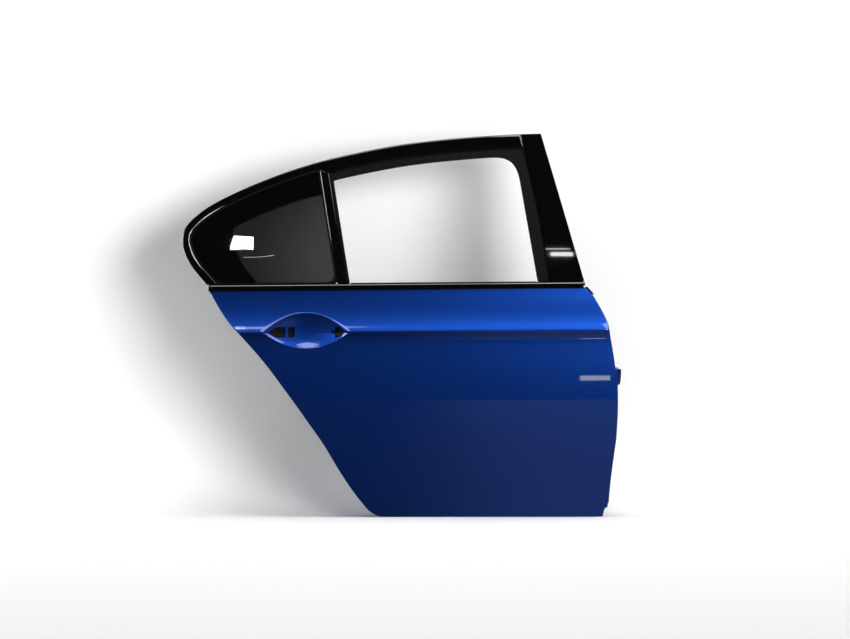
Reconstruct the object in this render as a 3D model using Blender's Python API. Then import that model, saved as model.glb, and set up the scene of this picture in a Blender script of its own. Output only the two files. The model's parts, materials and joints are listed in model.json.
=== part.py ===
# Right-hand rear car door shell, metres.
# +X points forward, +Z up and -Y outboard. The origin is on the hinge line, level with the upper hinge.
import math

import bmesh
import bpy
from mathutils import Matrix, Vector
from mathutils.geometry import delaunay_2d_cdt

# Overall sizes
REACH = 1.143  # rear point of the window frame, behind the hinge line
NOSE = 0.010  # front-most point of the skin, in front of the hinge line
NOSE_SWEEP = 0.080  # how far the front edge sweeps back up to the waist
ROOF = 0.668  # top of the frame
BELT = 0.2555  # waist: top of the visible skin
CREASE = 0.146  # shoulder crease
SILL = 0.347  # bottom edge, below the hinge line's origin
BELT_OUT = 0.015  # skin outboard of the hinge line at the waist
CREASE_OUT = 0.055  # and at the crease
FLANK_TUCK = 0.027  # how far the skin turns under from crease to sill
PLAN_BOW = 0.012  # bow of the skin in plan
CREASE_RADIUS = 0.003
LEAN = math.radians(12.0)  # lean of the glass at the waist
GLASS_RADIUS = 1.8
WAIST_RISE_SHARE = 0.0084  # the waist and the crease rise this much towards the front
WAIST_LIFT = 0.0170  # height of the waist moulding
BOW_MIDDLE_SHARE = 0.42
BOW_HALF_SHARE = 0.50

# Sheet gauges and the gaps between pieces
SKIN_GAUGE = 0.0008
PANEL_GAUGE = 0.0010
PLATE_GAUGE = 0.0020
FRAME_GAUGE = 0.0016
GAP = 0.0003
SEAM_GAP = 0.0004
OVERRUN = 0.010

# Profiles, as shares of the sizes they follow
shoulder_shares = ((0, 0), (0.2, 0.09), (0.4, 0.23), (0.6, 0.43), (0.8, 0.69), (0.92, 0.876), (1, 1))
flank_shares = ((0, 0), (0.008, 0.04), (0.016, 0.13), (0.028, 0.23), (0.045, 0.268), (0.061, 0.270),
                (0.122, 0.222), (0.156, 0.190), (0.223, 0.133), (0.349, 0.096), (0.467, 0.133), (0.609, 0.26),
                (0.75, 0.463), (0.872, 0.70), (1, 1))
rear_edge_shares = ((0, 0.936), (0.0618, 0.919), (0.141, 0.892), (0.219, 0.855), (0.324, 0.8065),
                    (0.455, 0.7545), (0.586, 0.705), (0.690, 0.667), (0.795, 0.634), (0.90, 0.597),
                    (0.952, 0.575), (1, 0.556))
front_edge_shares = ((0, 1.03), (0.0356, 0.80), (0.088, 0.57), (0.140, 0.373), (0.1665, 0.306),
                     (0.219, 0.24), (0.2975, 0.141), (0.376, 0.059), (0.428, 0.010), (0.50, 0.0),
                     (0.638, 0.043), (0.743, 0.141), (0.848, 0.240), (0.952, 0.306), (1, 0.33))
roof_shares = ((0.9395, 0.0199), (0.9654, 0.1025), (0.9843, 0.1796), (0.9976, 0.2827), (0.9946, 0.3730),
               (0.9718, 0.4506), (0.9351, 0.5282), (0.8820, 0.6060), (0.8196, 0.6839), (0.7454, 0.7619),
               (0.6502, 0.8401), (0.5153, 0.9185), (0.4104, 0.9578), (0.2657, 0.9908), (0.1654, 1.0))

# Skin
HEM_WIDTH = 0.009
HEM_FOLD = 0.0046  # thickness of the folded hem
FLANGE_Y = 0.0016  # inner panel's flange inboard of the skin's outer face
SKIN_BAND = 0.014  # plain band along the edge, before the flange behind it steps away
BELT_LIP = 0.006  # skin above the bottom of the waist moulding
BELT_FOLD = 0.012  # depth of its fold
CORNER = 0.029  # size of the lower rear corner
NOTCH_WIDTH = 0.0136  # notch at the lower front corner
NOTCH_HEIGHT = 0.025
COLUMN = 0.058  # spacing of the skin's columns

# Handle recess
RECESS_FROM_REAR = 0.3315  # its middle, ahead of the rear point
RECESS_BACK = REACH - RECESS_FROM_REAR
RECESS_HALF = 0.1148
RECESS_LEVEL = 0.137
RECESS_UP = 0.052
RECESS_DOWN = 0.041
RECESS_DEPTH = 0.024
SLOT_UP = 0.015  # the openings, above and below the line through the recess's points
SLOT_DOWN = 0.012
ARROW_TIP = 0.1000  # behind the recess's middle
ARROW_BASE = 0.0800
ARROW_END = 0.0545
WINDOW_BACK = 0.0475
WINDOW_FRONT = 0.0305
DART_NOTCH = 0.0680  # in front of the middle
DART_BASE = 0.0765
DART_SHOULDER = 0.0900
DART_TIP = 0.1019

# Inner panel: insets from the edge of the skin
EDGE_INSET = 0.0028
FLANGE_INSET = 0.0120
BEND_INSET = 0.0145
LEDGE_INSET = 0.0260
WALL_INSET = 0.0300
FACE_INSET = 0.0360
FRONT_WALL_INSET = 0.0240
LEDGE_Y = -0.0180
LEDGE_CLEAR = 0.0130  # least depth of the ledge behind the skin
FACE_Y = 0.0750
BELT_FACE_Y = 0.0450
FACE_RADIUS = 0.0060
SERVICE_FROM_REAR = 0.503  # service opening, its middle ahead of the rear point
SERVICE_BACK = REACH - SERVICE_FROM_REAR
SERVICE_LENGTH = 0.350
SERVICE_HEIGHT = 0.150
SERVICE_LEVEL = 0.065
SPEAKER_RADIUS = 0.074
SPEAKER_BACK = 0.205
SPEAKER_DROP = 0.170
PLUG_HOLE_RADIUS = 0.014
FRONT_PLUG_BACK = 0.120
FRONT_PLUG_LEVEL = 0.055
REAR_PLUG_FROM_REAR = 0.623
REAR_PLUG_BACK = REACH - REAR_PLUG_FROM_REAR
REAR_PLUG_DROP = 0.215
BEAD_DEPTH = 0.005
BEAD_LENGTH = 0.170
BEAD_BACK = 0.405
BEAD_DROP = 0.080
BEAD_PITCH = 0.048
BEAD_HEIGHT = 0.026
LATCH_LEVEL = 0.175
LATCH_HEIGHT = 0.060
LATCH_OPENING = 0.034
LATCH_Y = 0.0240
CLIP_RADIUS = 0.0045  # holes for the trim's clips
CLIP_INSET = 0.0140
CLIP_PITCH = 0.1300

# Window frame and its trims: depths are measured inboard from the outer face of the trims
COVER_DEPTH = 0.0092
COVER_WALL = 0.0030
FRAME_FACE = 0.0104
FRAME_DEPTH = 0.0380
FRAME_EDGE = 0.0040
LEG_DEPTH = 0.150  # how far the legs go down behind the skin
RAIL_REAR = 0.0210
RAIL_FRONT = 0.0360
WINDOW_RAIL = 0.0600  # from the roof edge to the opening
WINDOW_LEVEL = 0.2685  # level of the window's lower corners
UPPER_LEVEL = 0.550  # level at which the upper places below are given
PILLAR_LEVEL = 0.648
PILLAR_BELT_BACK = 0.1673  # inner edge of the front upright, behind the hinge line
PILLAR_MIDDLE_BACK = 0.1969
PILLAR_TOP_BACK = 0.2399
PILLAR_FRONT_BACK = 0.0762  # its outer edge, at the window's lower corner
DIVISION_BELT_FROM_REAR = 0.4468  # rear edge of the main opening
DIVISION_UPPER_FROM_REAR = 0.4011
DIVISION_BELT_BACK = REACH - DIVISION_BELT_FROM_REAR
DIVISION_UPPER_BACK = REACH - DIVISION_UPPER_FROM_REAR
OPENING_BELT_BACK = 0.2003  # front edge of the main opening
OPENING_UPPER_BACK = 0.2481
OPENING_RADIUS = 0.055
RUN_DIVISION = 0.0094  # rubber showing beside the opening
RUN_FACE = 0.0040
RUN_DEPTH = 0.0240
RUN_WALL = 0.0026
DIVISION_COVER = 0.0237
GASKET_LIP = 0.0037
GASKET_SEAT = 0.0080
GLASS_FACE = 0.0030
GLASS_GAUGE = 0.0035
SEAL_WALL = 0.0033

# Inside the door
BEAM_HEIGHT = 0.060
BEAM_DEPTH = 0.016
BEAM_CLEAR = 0.006
BEAM_FRONT_BACK = 0.050
BEAM_EDGE = 0.0899  # from its rear end to the edge of the skin
BEAM_FRONT_LEVEL = 0.050
BEAM_REAR_DROP = 0.120
BELT_CHANNEL_HEIGHT = 0.038
BELT_CHANNEL_DEPTH = 0.007
BELT_CHANNEL_DROP = 0.009
CHANNEL_FRONT_BACK = 0.140
CHANNEL_REAR_FROM_REAR = 0.163
CHANNEL_REAR_BACK = REACH - CHANNEL_REAR_FROM_REAR
CARRIER_GAUGE = 0.003
CARRIER_SHARE = 0.88

# Hinges
HINGE_TILT = math.radians(5.0)
HINGE_SEAT_BACK = 0.0310
HINGE_SPACING = 0.2550
LEAF_GAUGE = 0.0060
LEAF_HEIGHT = 0.084
LEAF_WIDTH = 0.052
BARREL_RADIUS = 0.0115
BARREL_HEIGHT = 0.0420
BARREL_LEVEL = 0.0220
NOSE_REACH = 0.0174
PIN_RADIUS = 0.0050
PIN_CLEAR = 0.0004
PIN_TAIL = 0.0180
PIN_HEAD = 0.0040
BOLT_SPACING = 0.056
BOLT_Y = 0.0330
BOLT_RADIUS = 0.0040
BOLT_HOLE_RADIUS = 0.0046
BOLT_HEAD = 0.0060
BOLT_TAIL = 0.0100
ROUND_STEPS = 16


# Shape helpers

def smooth(table, t):
    """Reads a table of points with a monotone cubic, straight on beyond its ends."""
    count = len(table)
    slopes = [(table[i + 1][1] - table[i][1]) / (table[i + 1][0] - table[i][0]) for i in range(count - 1)]
    tangents = [slopes[0]]
    for i in range(1, count - 1):
        product = slopes[i - 1] * slopes[i]
        tangents.append(2 * product / (slopes[i - 1] + slopes[i]) if product > 0 else 0.0)
    tangents.append(slopes[-1])
    if t <= table[0][0]:
        return table[0][1] + tangents[0] * (t - table[0][0])
    if t >= table[-1][0]:
        return table[-1][1] + tangents[-1] * (t - table[-1][0])
    i = max(k for k in range(count - 1) if table[k][0] <= t)
    width = table[i + 1][0] - table[i][0]
    u = (t - table[i][0]) / width
    start = table[i][1] * (1 + 2 * u) * (1 - u) ** 2 + tangents[i] * width * u * (1 - u) ** 2
    end = table[i + 1][1] * (3 - 2 * u) * u ** 2 + tangents[i + 1] * width * u ** 2 * (u - 1)
    return start + end


def through(points, steps):
    """A smooth open curve through the points, with so many steps in each span."""
    ends = [2 * points[0] - points[1], *points, 2 * points[-1] - points[-2]]
    curve = []
    for before, start, end, after in zip(ends, ends[1:], ends[2:], ends[3:]):
        span = (end - start).length
        leave = ((end - before) * (span / (end - before).length)) if before != end else end - start
        arrive = ((after - start) * (span / (after - start).length)) if after != start else end - start
        for k in range(steps):
            u = k / steps
            curve.append(start * ((1 + 2 * u) * (1 - u) ** 2) + leave * (u * (1 - u) ** 2)
                         + end * ((3 - 2 * u) * u ** 2) + arrive * (u ** 2 * (u - 1)))
    curve.append(points[-1].copy())
    return curve


def corner(start, control, end, steps):
    """The points of a round corner, with its ends."""
    arc = []
    for k in range(steps + 1):
        u = k / steps
        arc.append(start * (1 - u) ** 2 + control * (2 * u * (1 - u)) + end * u ** 2)
    return arc


def flat(x, z):
    return Vector((x, z))


def crossing(a, b, c, d):
    """Where the line through a and b meets the line through c and d."""
    along = b - a
    other = d - c
    reach = (c - a).cross(other) / along.cross(other)
    return a + along * reach


def inside(point, loop):
    found = False
    for a, b in zip(loop, loop[1:] + loop[:1]):
        if (a.y > point.y) != (b.y > point.y):
            if point.x < a.x + (b.x - a.x) * (point.y - a.y) / (b.y - a.y):
                found = not found
    return found


def distance_to(point, loop):
    nearest = math.inf
    for a, b in zip(loop, loop[1:] + loop[:1]):
        along = b - a
        share = max(0.0, min(1.0, (point - a).dot(along) / max(along.length_squared, GAP ** 2)))
        nearest = min(nearest, (a + along * share - point).length)
    return nearest


def moved(points, distances, last=None):
    """Moves an open run of points to its left; the last one may slide along a given direction."""
    result = []
    for i, point in enumerate(points):
        before = points[max(i - 1, 0)]
        after = points[min(i + 1, len(points) - 1)]
        into = (point - before).normalized() if i else (after - point).normalized()
        out = (after - point).normalized() if i < len(points) - 1 else into
        normal = (into + out).normalized()
        normal = flat(-normal.y, normal.x)
        width = distances[i] if isinstance(distances, list) else distances
        side = normal / max(normal.dot(flat(-into.y, into.x)), 0.2)
        if last is not None and i == len(points) - 1:
            side = last / last.dot(flat(-into.y, into.x))
        result.append(point + side * width)
    return result


def moved_loop(points, distance):
    """Moves a closed loop of points to its left."""
    result = []
    for before, point, after in zip(points[-1:] + points[:-1], points, points[1:] + points[:1]):
        into = (point - before).normalized()
        out = (after - point).normalized()
        normal = (into + out).normalized()
        normal = flat(-normal.y, normal.x)
        result.append(point + normal * (distance / max(normal.dot(flat(-into.y, into.x)), 0.35)))
    return result


def filled(loop, holes, lines, spots):
    """Triangles over a flat loop with holes, through extra closed lines and single spots."""
    points = []
    edges = []
    for ring in [loop, *holes, *lines]:
        start = len(points)
        points.extend(ring)
        edges.extend((start + k, start + (k + 1) % len(ring)) for k in range(len(ring)))
    points.extend(spots)
    out, _, faces, *_ = delaunay_2d_cdt(points, edges, [], 0, GAP / 30, False)
    kept = []
    for face in faces:
        a, b, c = (out[k] for k in face)
        middle = (a + b + c) / 3
        if abs((b - a).cross(c - a)) < GAP ** 2:
            continue
        if inside(middle, loop) and not any(inside(middle, hole) for hole in holes):
            kept.append(face)
    return out, kept


# Objects

for found in list(bpy.data.objects):
    bpy.data.objects.remove(found)


def material(name, colour, roughness, metallic):
    found = bpy.data.materials.new(name)
    found.use_nodes = True
    shader = found.node_tree.nodes["Principled BSDF"]
    shader.inputs["Base Color"].default_value = (*colour, 1.0)
    shader.inputs["Roughness"].default_value = roughness
    shader.inputs["Metallic"].default_value = metallic
    return found


def make(name, mesh_builder, finish, gauge=None, turn=False):
    """Makes an object of a bmesh; a sheet is thickened inboard by its gauge."""
    mesh_builder.normal_update()
    if turn:
        bmesh.ops.recalc_face_normals(mesh_builder, faces=mesh_builder.faces[:])
    mesh = bpy.data.meshes.new(name)
    mesh_builder.to_mesh(mesh)
    mesh_builder.free()
    obj = bpy.data.objects.new(name, mesh)
    bpy.context.scene.collection.objects.link(obj)
    obj.parent = door
    mesh.materials.append(finish)
    if gauge:
        wall = obj.modifiers.new("gauge", "SOLIDIFY")
        wall.thickness = gauge
        wall.offset = -1.0
        wall.use_even_offset = True
    return obj


def loft(rings, wrap=False):
    """A closed solid through rings that each have as many points."""
    built = bmesh.new()
    loops = [[built.verts.new(point) for point in ring] for ring in rings]
    pairs = list(zip(loops, loops[1:]))
    if wrap:
        pairs.append((loops[-1], loops[0]))
    for near, far in pairs:
        for k in range(len(near)):
            after = (k + 1) % len(near)
            built.faces.new((near[k], near[after], far[after], far[k]))
    if not wrap:
        built.faces.new(loops[0])
        built.faces.new(loops[-1])
    bmesh.ops.recalc_face_normals(built, faces=built.faces[:])
    return built


def cut(obj, *cutters):
    """Takes the cutters out of an object."""
    for cutter in cutters:
        cutter.hide_render = True
        cutter.display_type = "WIRE"
        knife = obj.modifiers.new("cut", "BOOLEAN")
        knife.operation = "DIFFERENCE"
        knife.solver = "EXACT"
        knife.object = cutter


def round_cutter(name, radius, start, end):
    """A round cutter between two points."""
    return make(name, loft([circle(start, end - start, radius), circle(end, end - start, radius)]), steel)


def circle(centre, axis, radius, steps=ROUND_STEPS):
    axis = axis.normalized()
    aside = axis.cross(Vector((0, 1, 0)))
    if aside.length < 0.1:
        aside = axis.cross(Vector((1, 0, 0)))
    aside.normalize()
    other = axis.cross(aside)
    turns = [math.tau * (k + 0.5) / steps for k in range(steps)]
    return [centre + (aside * math.cos(a) + other * math.sin(a)) * radius for a in turns]


def turned(profile, base, axis, steps=ROUND_STEPS):
    """A turned solid: the profile gives distance along the axis and radius."""
    return loft([circle(base + axis.normalized() * along, axis, radius, steps) for along, radius in profile])


# Surfaces of the door

def waist(x, level):
    """Height at x of a line that follows the waist."""
    return level + WAIST_RISE_SHARE * x


def bow(x):
    return PLAN_BOW * ((x + REACH * BOW_MIDDLE_SHARE) / (REACH * BOW_HALF_SHARE)) ** 2


def section_out(x, z):
    """How far outboard the pressed section stands, with a hard crease."""
    belt = waist(x, BELT)
    crease = waist(x, CREASE)
    if z >= crease:
        return BELT_OUT + (CREASE_OUT - BELT_OUT) * smooth(shoulder_shares, (belt - z) / (belt - crease))
    return CREASE_OUT - FLANK_TUCK * smooth(flank_shares, (crease - z) / (crease + SILL))


def skin_y(x, z):
    """Outer face of the skin without the recess, with the crease rounded."""
    out = (section_out(x, z - CREASE_RADIUS) + 2 * section_out(x, z) + section_out(x, z + CREASE_RADIUS)) / 4
    return bow(x) - out


def upper_y(x, z):
    """Outer face of the trims above the waist."""
    above = z - waist(x, BELT)
    return bow(x) - BELT_OUT + above * math.tan(LEAN) + above ** 2 / (2 * GLASS_RADIUS)


def face_y(x, z):
    """Outboard side of the inner panel's face."""
    share = min(1.0, max(0.0, (waist(x, BELT) + WAIST_LIFT - z) / (BELT + WAIST_LIFT - CREASE * 0.5)))
    ease = share * share * (3 - 2 * share)
    return BELT_FACE_Y + (FACE_Y - BELT_FACE_Y) * ease


def edge_share(z):
    return (BELT - z) / (BELT + SILL)


def rear_x(z):
    return -REACH * smooth(rear_edge_shares, edge_share(z))


def front_x(z):
    return NOSE - NOSE_SWEEP * smooth(front_edge_shares, edge_share(z))


def row_height(x, row):
    """Height at x of a row of the skin: up to 1 the shoulder, from there to 2 the flank."""
    belt = waist(x, BELT)
    crease = waist(x, CREASE)
    if row <= 1:
        return belt + (crease - belt) * row
    return crease - (crease + SILL) * (row - 1)


rows = [-BELT_LIP / (BELT - CREASE)]
rows += [t for t, _ in shoulder_shares] + [1 + t for t, _ in flank_shares[1:-1]]


def edge_point(edge, row):
    """Where a row meets the front or the rear edge."""
    x = edge(CREASE)
    for _ in range(12):
        x = edge(row_height(x, row))
    return flat(x, row_height(x, row))


def edge_run():
    """The skin's edge from the waist's rear end round to its front end, as (point, inward) pairs."""
    rear = [edge_point(rear_x, row) for row in rows]
    low = -SILL
    start = flat(rear_x(low + CORNER), low + CORNER)
    sill_corner = flat(2 * rear_x(low + CORNER / 2) - rear_x(low + CORNER), low)
    end = flat(sill_corner.x + CORNER, low)
    arc = corner(start, sill_corner, end, 4)
    right = front_x(low) - NOTCH_WIDTH - HEM_WIDTH
    count = round((right - end.x) / COLUMN)
    sill = [flat(end.x + (right - end.x) * k / count, low) for k in range(1, count + 1)]
    front = [flat(front_x(low + NOTCH_HEIGHT + HEM_WIDTH), low + NOTCH_HEIGHT + HEM_WIDTH)]
    front += [edge_point(front_x, row) for row in reversed(rows)]
    points = rear + arc + sill + front
    inward = []
    for i, point in enumerate(points):
        along = (points[min(i + 1, len(points) - 1)] - points[max(i - 1, 0)]).normalized()
        normal = flat(-along.y, along.x)
        if i < len(rear) or i >= len(rear) + len(arc) + len(sill):
            inward.append(flat(1, WAIST_RISE_SHARE) / normal.x)
        elif i < len(rear) + len(arc) - 1:
            inward.append(normal)
        else:
            inward.append(flat(0, 1))
    first_front = len(rear) + len(arc) + len(sill)
    inward[first_front - 1] = flat(-0.35, 1)
    inward[first_front] = flat(-1, 0.35)
    return points, inward, first_front


# Outer skin

def recess_share(x, z):
    """0 in the middle of the lens-shaped recess, 1 on its rim."""
    across = (x + RECESS_BACK) / RECESS_HALF
    above = z - RECESS_LEVEL
    height = RECESS_UP if above > 0 else RECESS_DOWN
    return (abs(above) + math.sqrt(above ** 2 + 4 * height ** 2 * across ** 2)) / (2 * height)


def recess_rim(share, steps):
    """A closed line round the recess, counter-clockwise, at a share of its size."""
    line = []
    for sign, height in ((-1, RECESS_DOWN), (1, RECESS_UP)):
        for k in range(steps):
            across = sign * math.cos(math.pi * k / steps)
            line.append(flat(-RECESS_BACK + RECESS_HALF * share * across,
                             RECESS_LEVEL + sign * height * share * (1 - across ** 2)))
    return line


def dish_y(x, z):
    """Outer face of the skin with the recess."""
    share = recess_share(x, z)
    return skin_y(x, z) + (RECESS_DEPTH * (1 - share ** 2.5) if share < 1 else 0.0)


def handle_openings():
    middle = -RECESS_BACK
    top = RECESS_LEVEL + SLOT_UP
    low = RECESS_LEVEL - SLOT_DOWN
    arrow = [flat(middle - ARROW_TIP, RECESS_LEVEL), flat(middle - ARROW_BASE, low),
             flat(middle - ARROW_END, low), flat(middle - ARROW_END, top), flat(middle - ARROW_BASE, top)]
    window = [flat(middle - WINDOW_BACK, low), flat(middle - WINDOW_FRONT, low),
              flat(middle - WINDOW_FRONT, top), flat(middle - WINDOW_BACK, top)]
    notch_top = RECESS_LEVEL + SLOT_UP * 0.4
    notch_low = RECESS_LEVEL - SLOT_DOWN * 0.2
    dart = [flat(middle + DART_NOTCH, notch_low), flat(middle + DART_BASE, notch_low),
            flat(middle + DART_BASE, low), flat(middle + DART_SHOULDER, low),
            flat(middle + DART_TIP, RECESS_LEVEL), flat(middle + DART_SHOULDER, top),
            flat(middle + DART_BASE, top), flat(middle + DART_BASE, notch_top),
            flat(middle + DART_NOTCH, notch_top)]
    return arrow, window, dart


def sheet_of(out, faces, depth):
    """A sheet over flat triangles, and a way to find its vertices again."""
    built = bmesh.new()
    verts = [built.verts.new((point.x, depth(point.x, point.y), point.y)) for point in out]
    for face in faces:
        built.faces.new([verts[k] for k in face])
    places = {(round(point.x / GAP * 30), round(point.y / GAP * 30)): verts[k] for k, point in enumerate(out)}

    def at(point):
        near = (round(point.x / GAP * 30), round(point.y / GAP * 30))
        spots = [(near[0] + a, near[1] + b) for a in (0, -1, 1) for b in (0, -1, 1)]
        return next(places[spot] for spot in spots if spot in places)

    return built, at


def strip(built, edge, outer):
    """Faces between a run of vertices and the next run outside it."""
    for k in range(len(edge) - 1):
        built.faces.new((outer[k], outer[k + 1], edge[k + 1], edge[k]))


def drop_loose(built):
    loose = [vert for vert in built.verts if not vert.link_faces]
    bmesh.ops.delete(built, geom=loose, context="VERTS")


def deepen(built, depth):
    """Turns a sheet into a plate that is so deep along Y."""
    front = built.faces[:]
    rim = [edge for edge in built.edges if len(edge.link_faces) == 1]
    back = {vert: built.verts.new(vert.co + Vector((0, depth, 0))) for vert in built.verts[:]}
    for face in front:
        built.faces.new([back[vert] for vert in reversed(face.verts)])
    for edge in rim:
        start, end = edge.verts
        built.faces.new((start, end, back[end], back[start]))
    bmesh.ops.recalc_face_normals(built, faces=built.faces[:])


def grid_spots(loop, avoid, clear):
    """Spots where the skin's rows and columns cross, inside the loop and clear of closed lines."""
    spots = []
    count = round(REACH / COLUMN)
    for row in rows[1:]:
        for k in range(1, count):
            x = -REACH * k / count
            spot = flat(x, row_height(x, row))
            if inside(spot, loop) and distance_to(spot, loop) > clear:
                if not any(inside(spot, line) or distance_to(spot, line) < clear for line in avoid):
                    spots.append(spot)
    return spots


def outer_skin():
    points, inward, first_front = edge_run()
    bend = HEM_FOLD / 2
    band = [point + way * SKIN_BAND for point, way in zip(points, inward)]
    start = [point + way * bend for point, way in zip(points, inward)]
    front = front_x(-SILL)
    notch = [flat(front - NOTCH_WIDTH, -SILL), flat(front - NOTCH_WIDTH * 0.63, -SILL + NOTCH_HEIGHT * 0.84),
             flat(front_x(NOTCH_HEIGHT - SILL) - bend, NOTCH_HEIGHT - SILL)]
    notch[0].y += bend
    top_count = round((band[-1].x - band[0].x) / COLUMN)
    top = [flat(band[-1].x + (band[0].x - band[-1].x) * k / top_count, 0) for k in range(1, top_count)]
    for point in top:
        point.y = row_height(point.x, rows[0])
    loop = (band[:first_front] + [start[first_front - 1]] + notch + [start[first_front]]
            + band[first_front:] + top)
    rim = recess_rim(1, 12)
    holes = handle_openings()
    spots = grid_spots(loop, [rim], RECESS_HALF * 0.04)
    for share, steps in ((0.95, 12), (0.86, 12), (0.72, 12), (0.54, 9), (0.32, 6)):
        for spot in recess_rim(share, steps):
            if not any(inside(spot, hole) or distance_to(spot, hole) < SLOT_UP * 0.25 for hole in holes):
                spots.append(spot)
    out, faces = filled(loop, holes, [rim], spots)
    built, at = sheet_of(out, faces, dish_y)
    for low, high in ((0, first_front), (first_front, len(points))):
        edge = [at(point) for point in band[low:high]]
        steps = [(bend, 0.0)]
        steps += [(bend - bend * math.sin(turn), bend - bend * math.cos(turn))
                  for turn in (math.pi / 4, math.pi / 2, math.pi * 3 / 4, math.pi)]
        steps.append((bend + HEM_WIDTH, HEM_FOLD))
        for number, (inset, depth) in enumerate(steps):
            run = []
            for k in range(low, high):
                place = points[k] + inward[k] * inset
                share = inset / SKIN_BAND
                level = skin_y(*points[k]) * (1 - share) + skin_y(*band[k]) * share
                if number == 0 and k in (first_front - 1, first_front):
                    vert = at(start[k])
                    vert.co.y = level
                else:
                    vert = built.verts.new((place.x, level + depth, place.y))
                run.append(vert)
            strip(built, edge, run)
            edge = run
    edge = [at(point) for point in top]
    roll = BELT_LIP / 4
    for down, depth in ((0.0, roll), (roll, 2 * roll), (BELT_FOLD, 2 * roll)):
        run = []
        for vert in edge:
            z = waist(vert.co.x, BELT + BELT_LIP)
            run.append(built.verts.new((vert.co.x, skin_y(vert.co.x, z) + depth, z - down)))
        strip(built, edge, run)
        edge = run
    drop_loose(built)
    return make("outer_skin", built, blue, SKIN_GAUGE)


# Inner panel

def hinge_x(z):
    """The hinge line, which leans back towards the sill."""
    return math.tan(HINGE_TILT) * z


def ledge_y(place):
    return max(LEDGE_Y, skin_y(*place) + LEDGE_CLEAR)


def rounded_box(middle, width, height, radius, steps):
    loop = []
    for sx, sz in ((-1, -1), (1, -1), (1, 1), (-1, 1)):
        centre = middle + flat(sx * (width / 2 - radius), sz * (height / 2 - radius))
        first = {(-1, -1): math.pi, (1, -1): 1.5 * math.pi, (1, 1): 0.0, (-1, 1): 0.5 * math.pi}[sx, sz]
        for k in range(steps + 1):
            turn = first + 0.5 * math.pi * k / steps
            loop.append(centre + flat(math.cos(turn), math.sin(turn)) * radius)
    return loop


def ring(middle, radius, steps):
    turns = [math.tau * k / steps for k in range(steps)]
    return [middle + flat(math.cos(turn), math.sin(turn)) * radius for turn in turns]


def panel_places():
    front_plug = flat(-FRONT_PLUG_BACK, FRONT_PLUG_LEVEL)
    rear_plug = flat(-REAR_PLUG_BACK, -REAR_PLUG_DROP)
    return front_plug, rear_plug


def clip_places(face, loop, avoid):
    """Places for the trim's clips, evenly along the edge of the panel's face."""
    line = moved(face, CLIP_INSET)
    places = []
    along = CLIP_PITCH / 2
    for start, end in zip(line, line[1:]):
        length = (end - start).length
        while along < length:
            place = start.lerp(end, along / length)
            clear = all(distance_to(place, other) > 3 * CLIP_RADIUS for other in avoid)
            if clear and inside(place, loop) and distance_to(place, loop) > CLIP_INSET * 0.8:
                places.append(place)
            along += CLIP_PITCH
        along -= length
    return places


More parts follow.
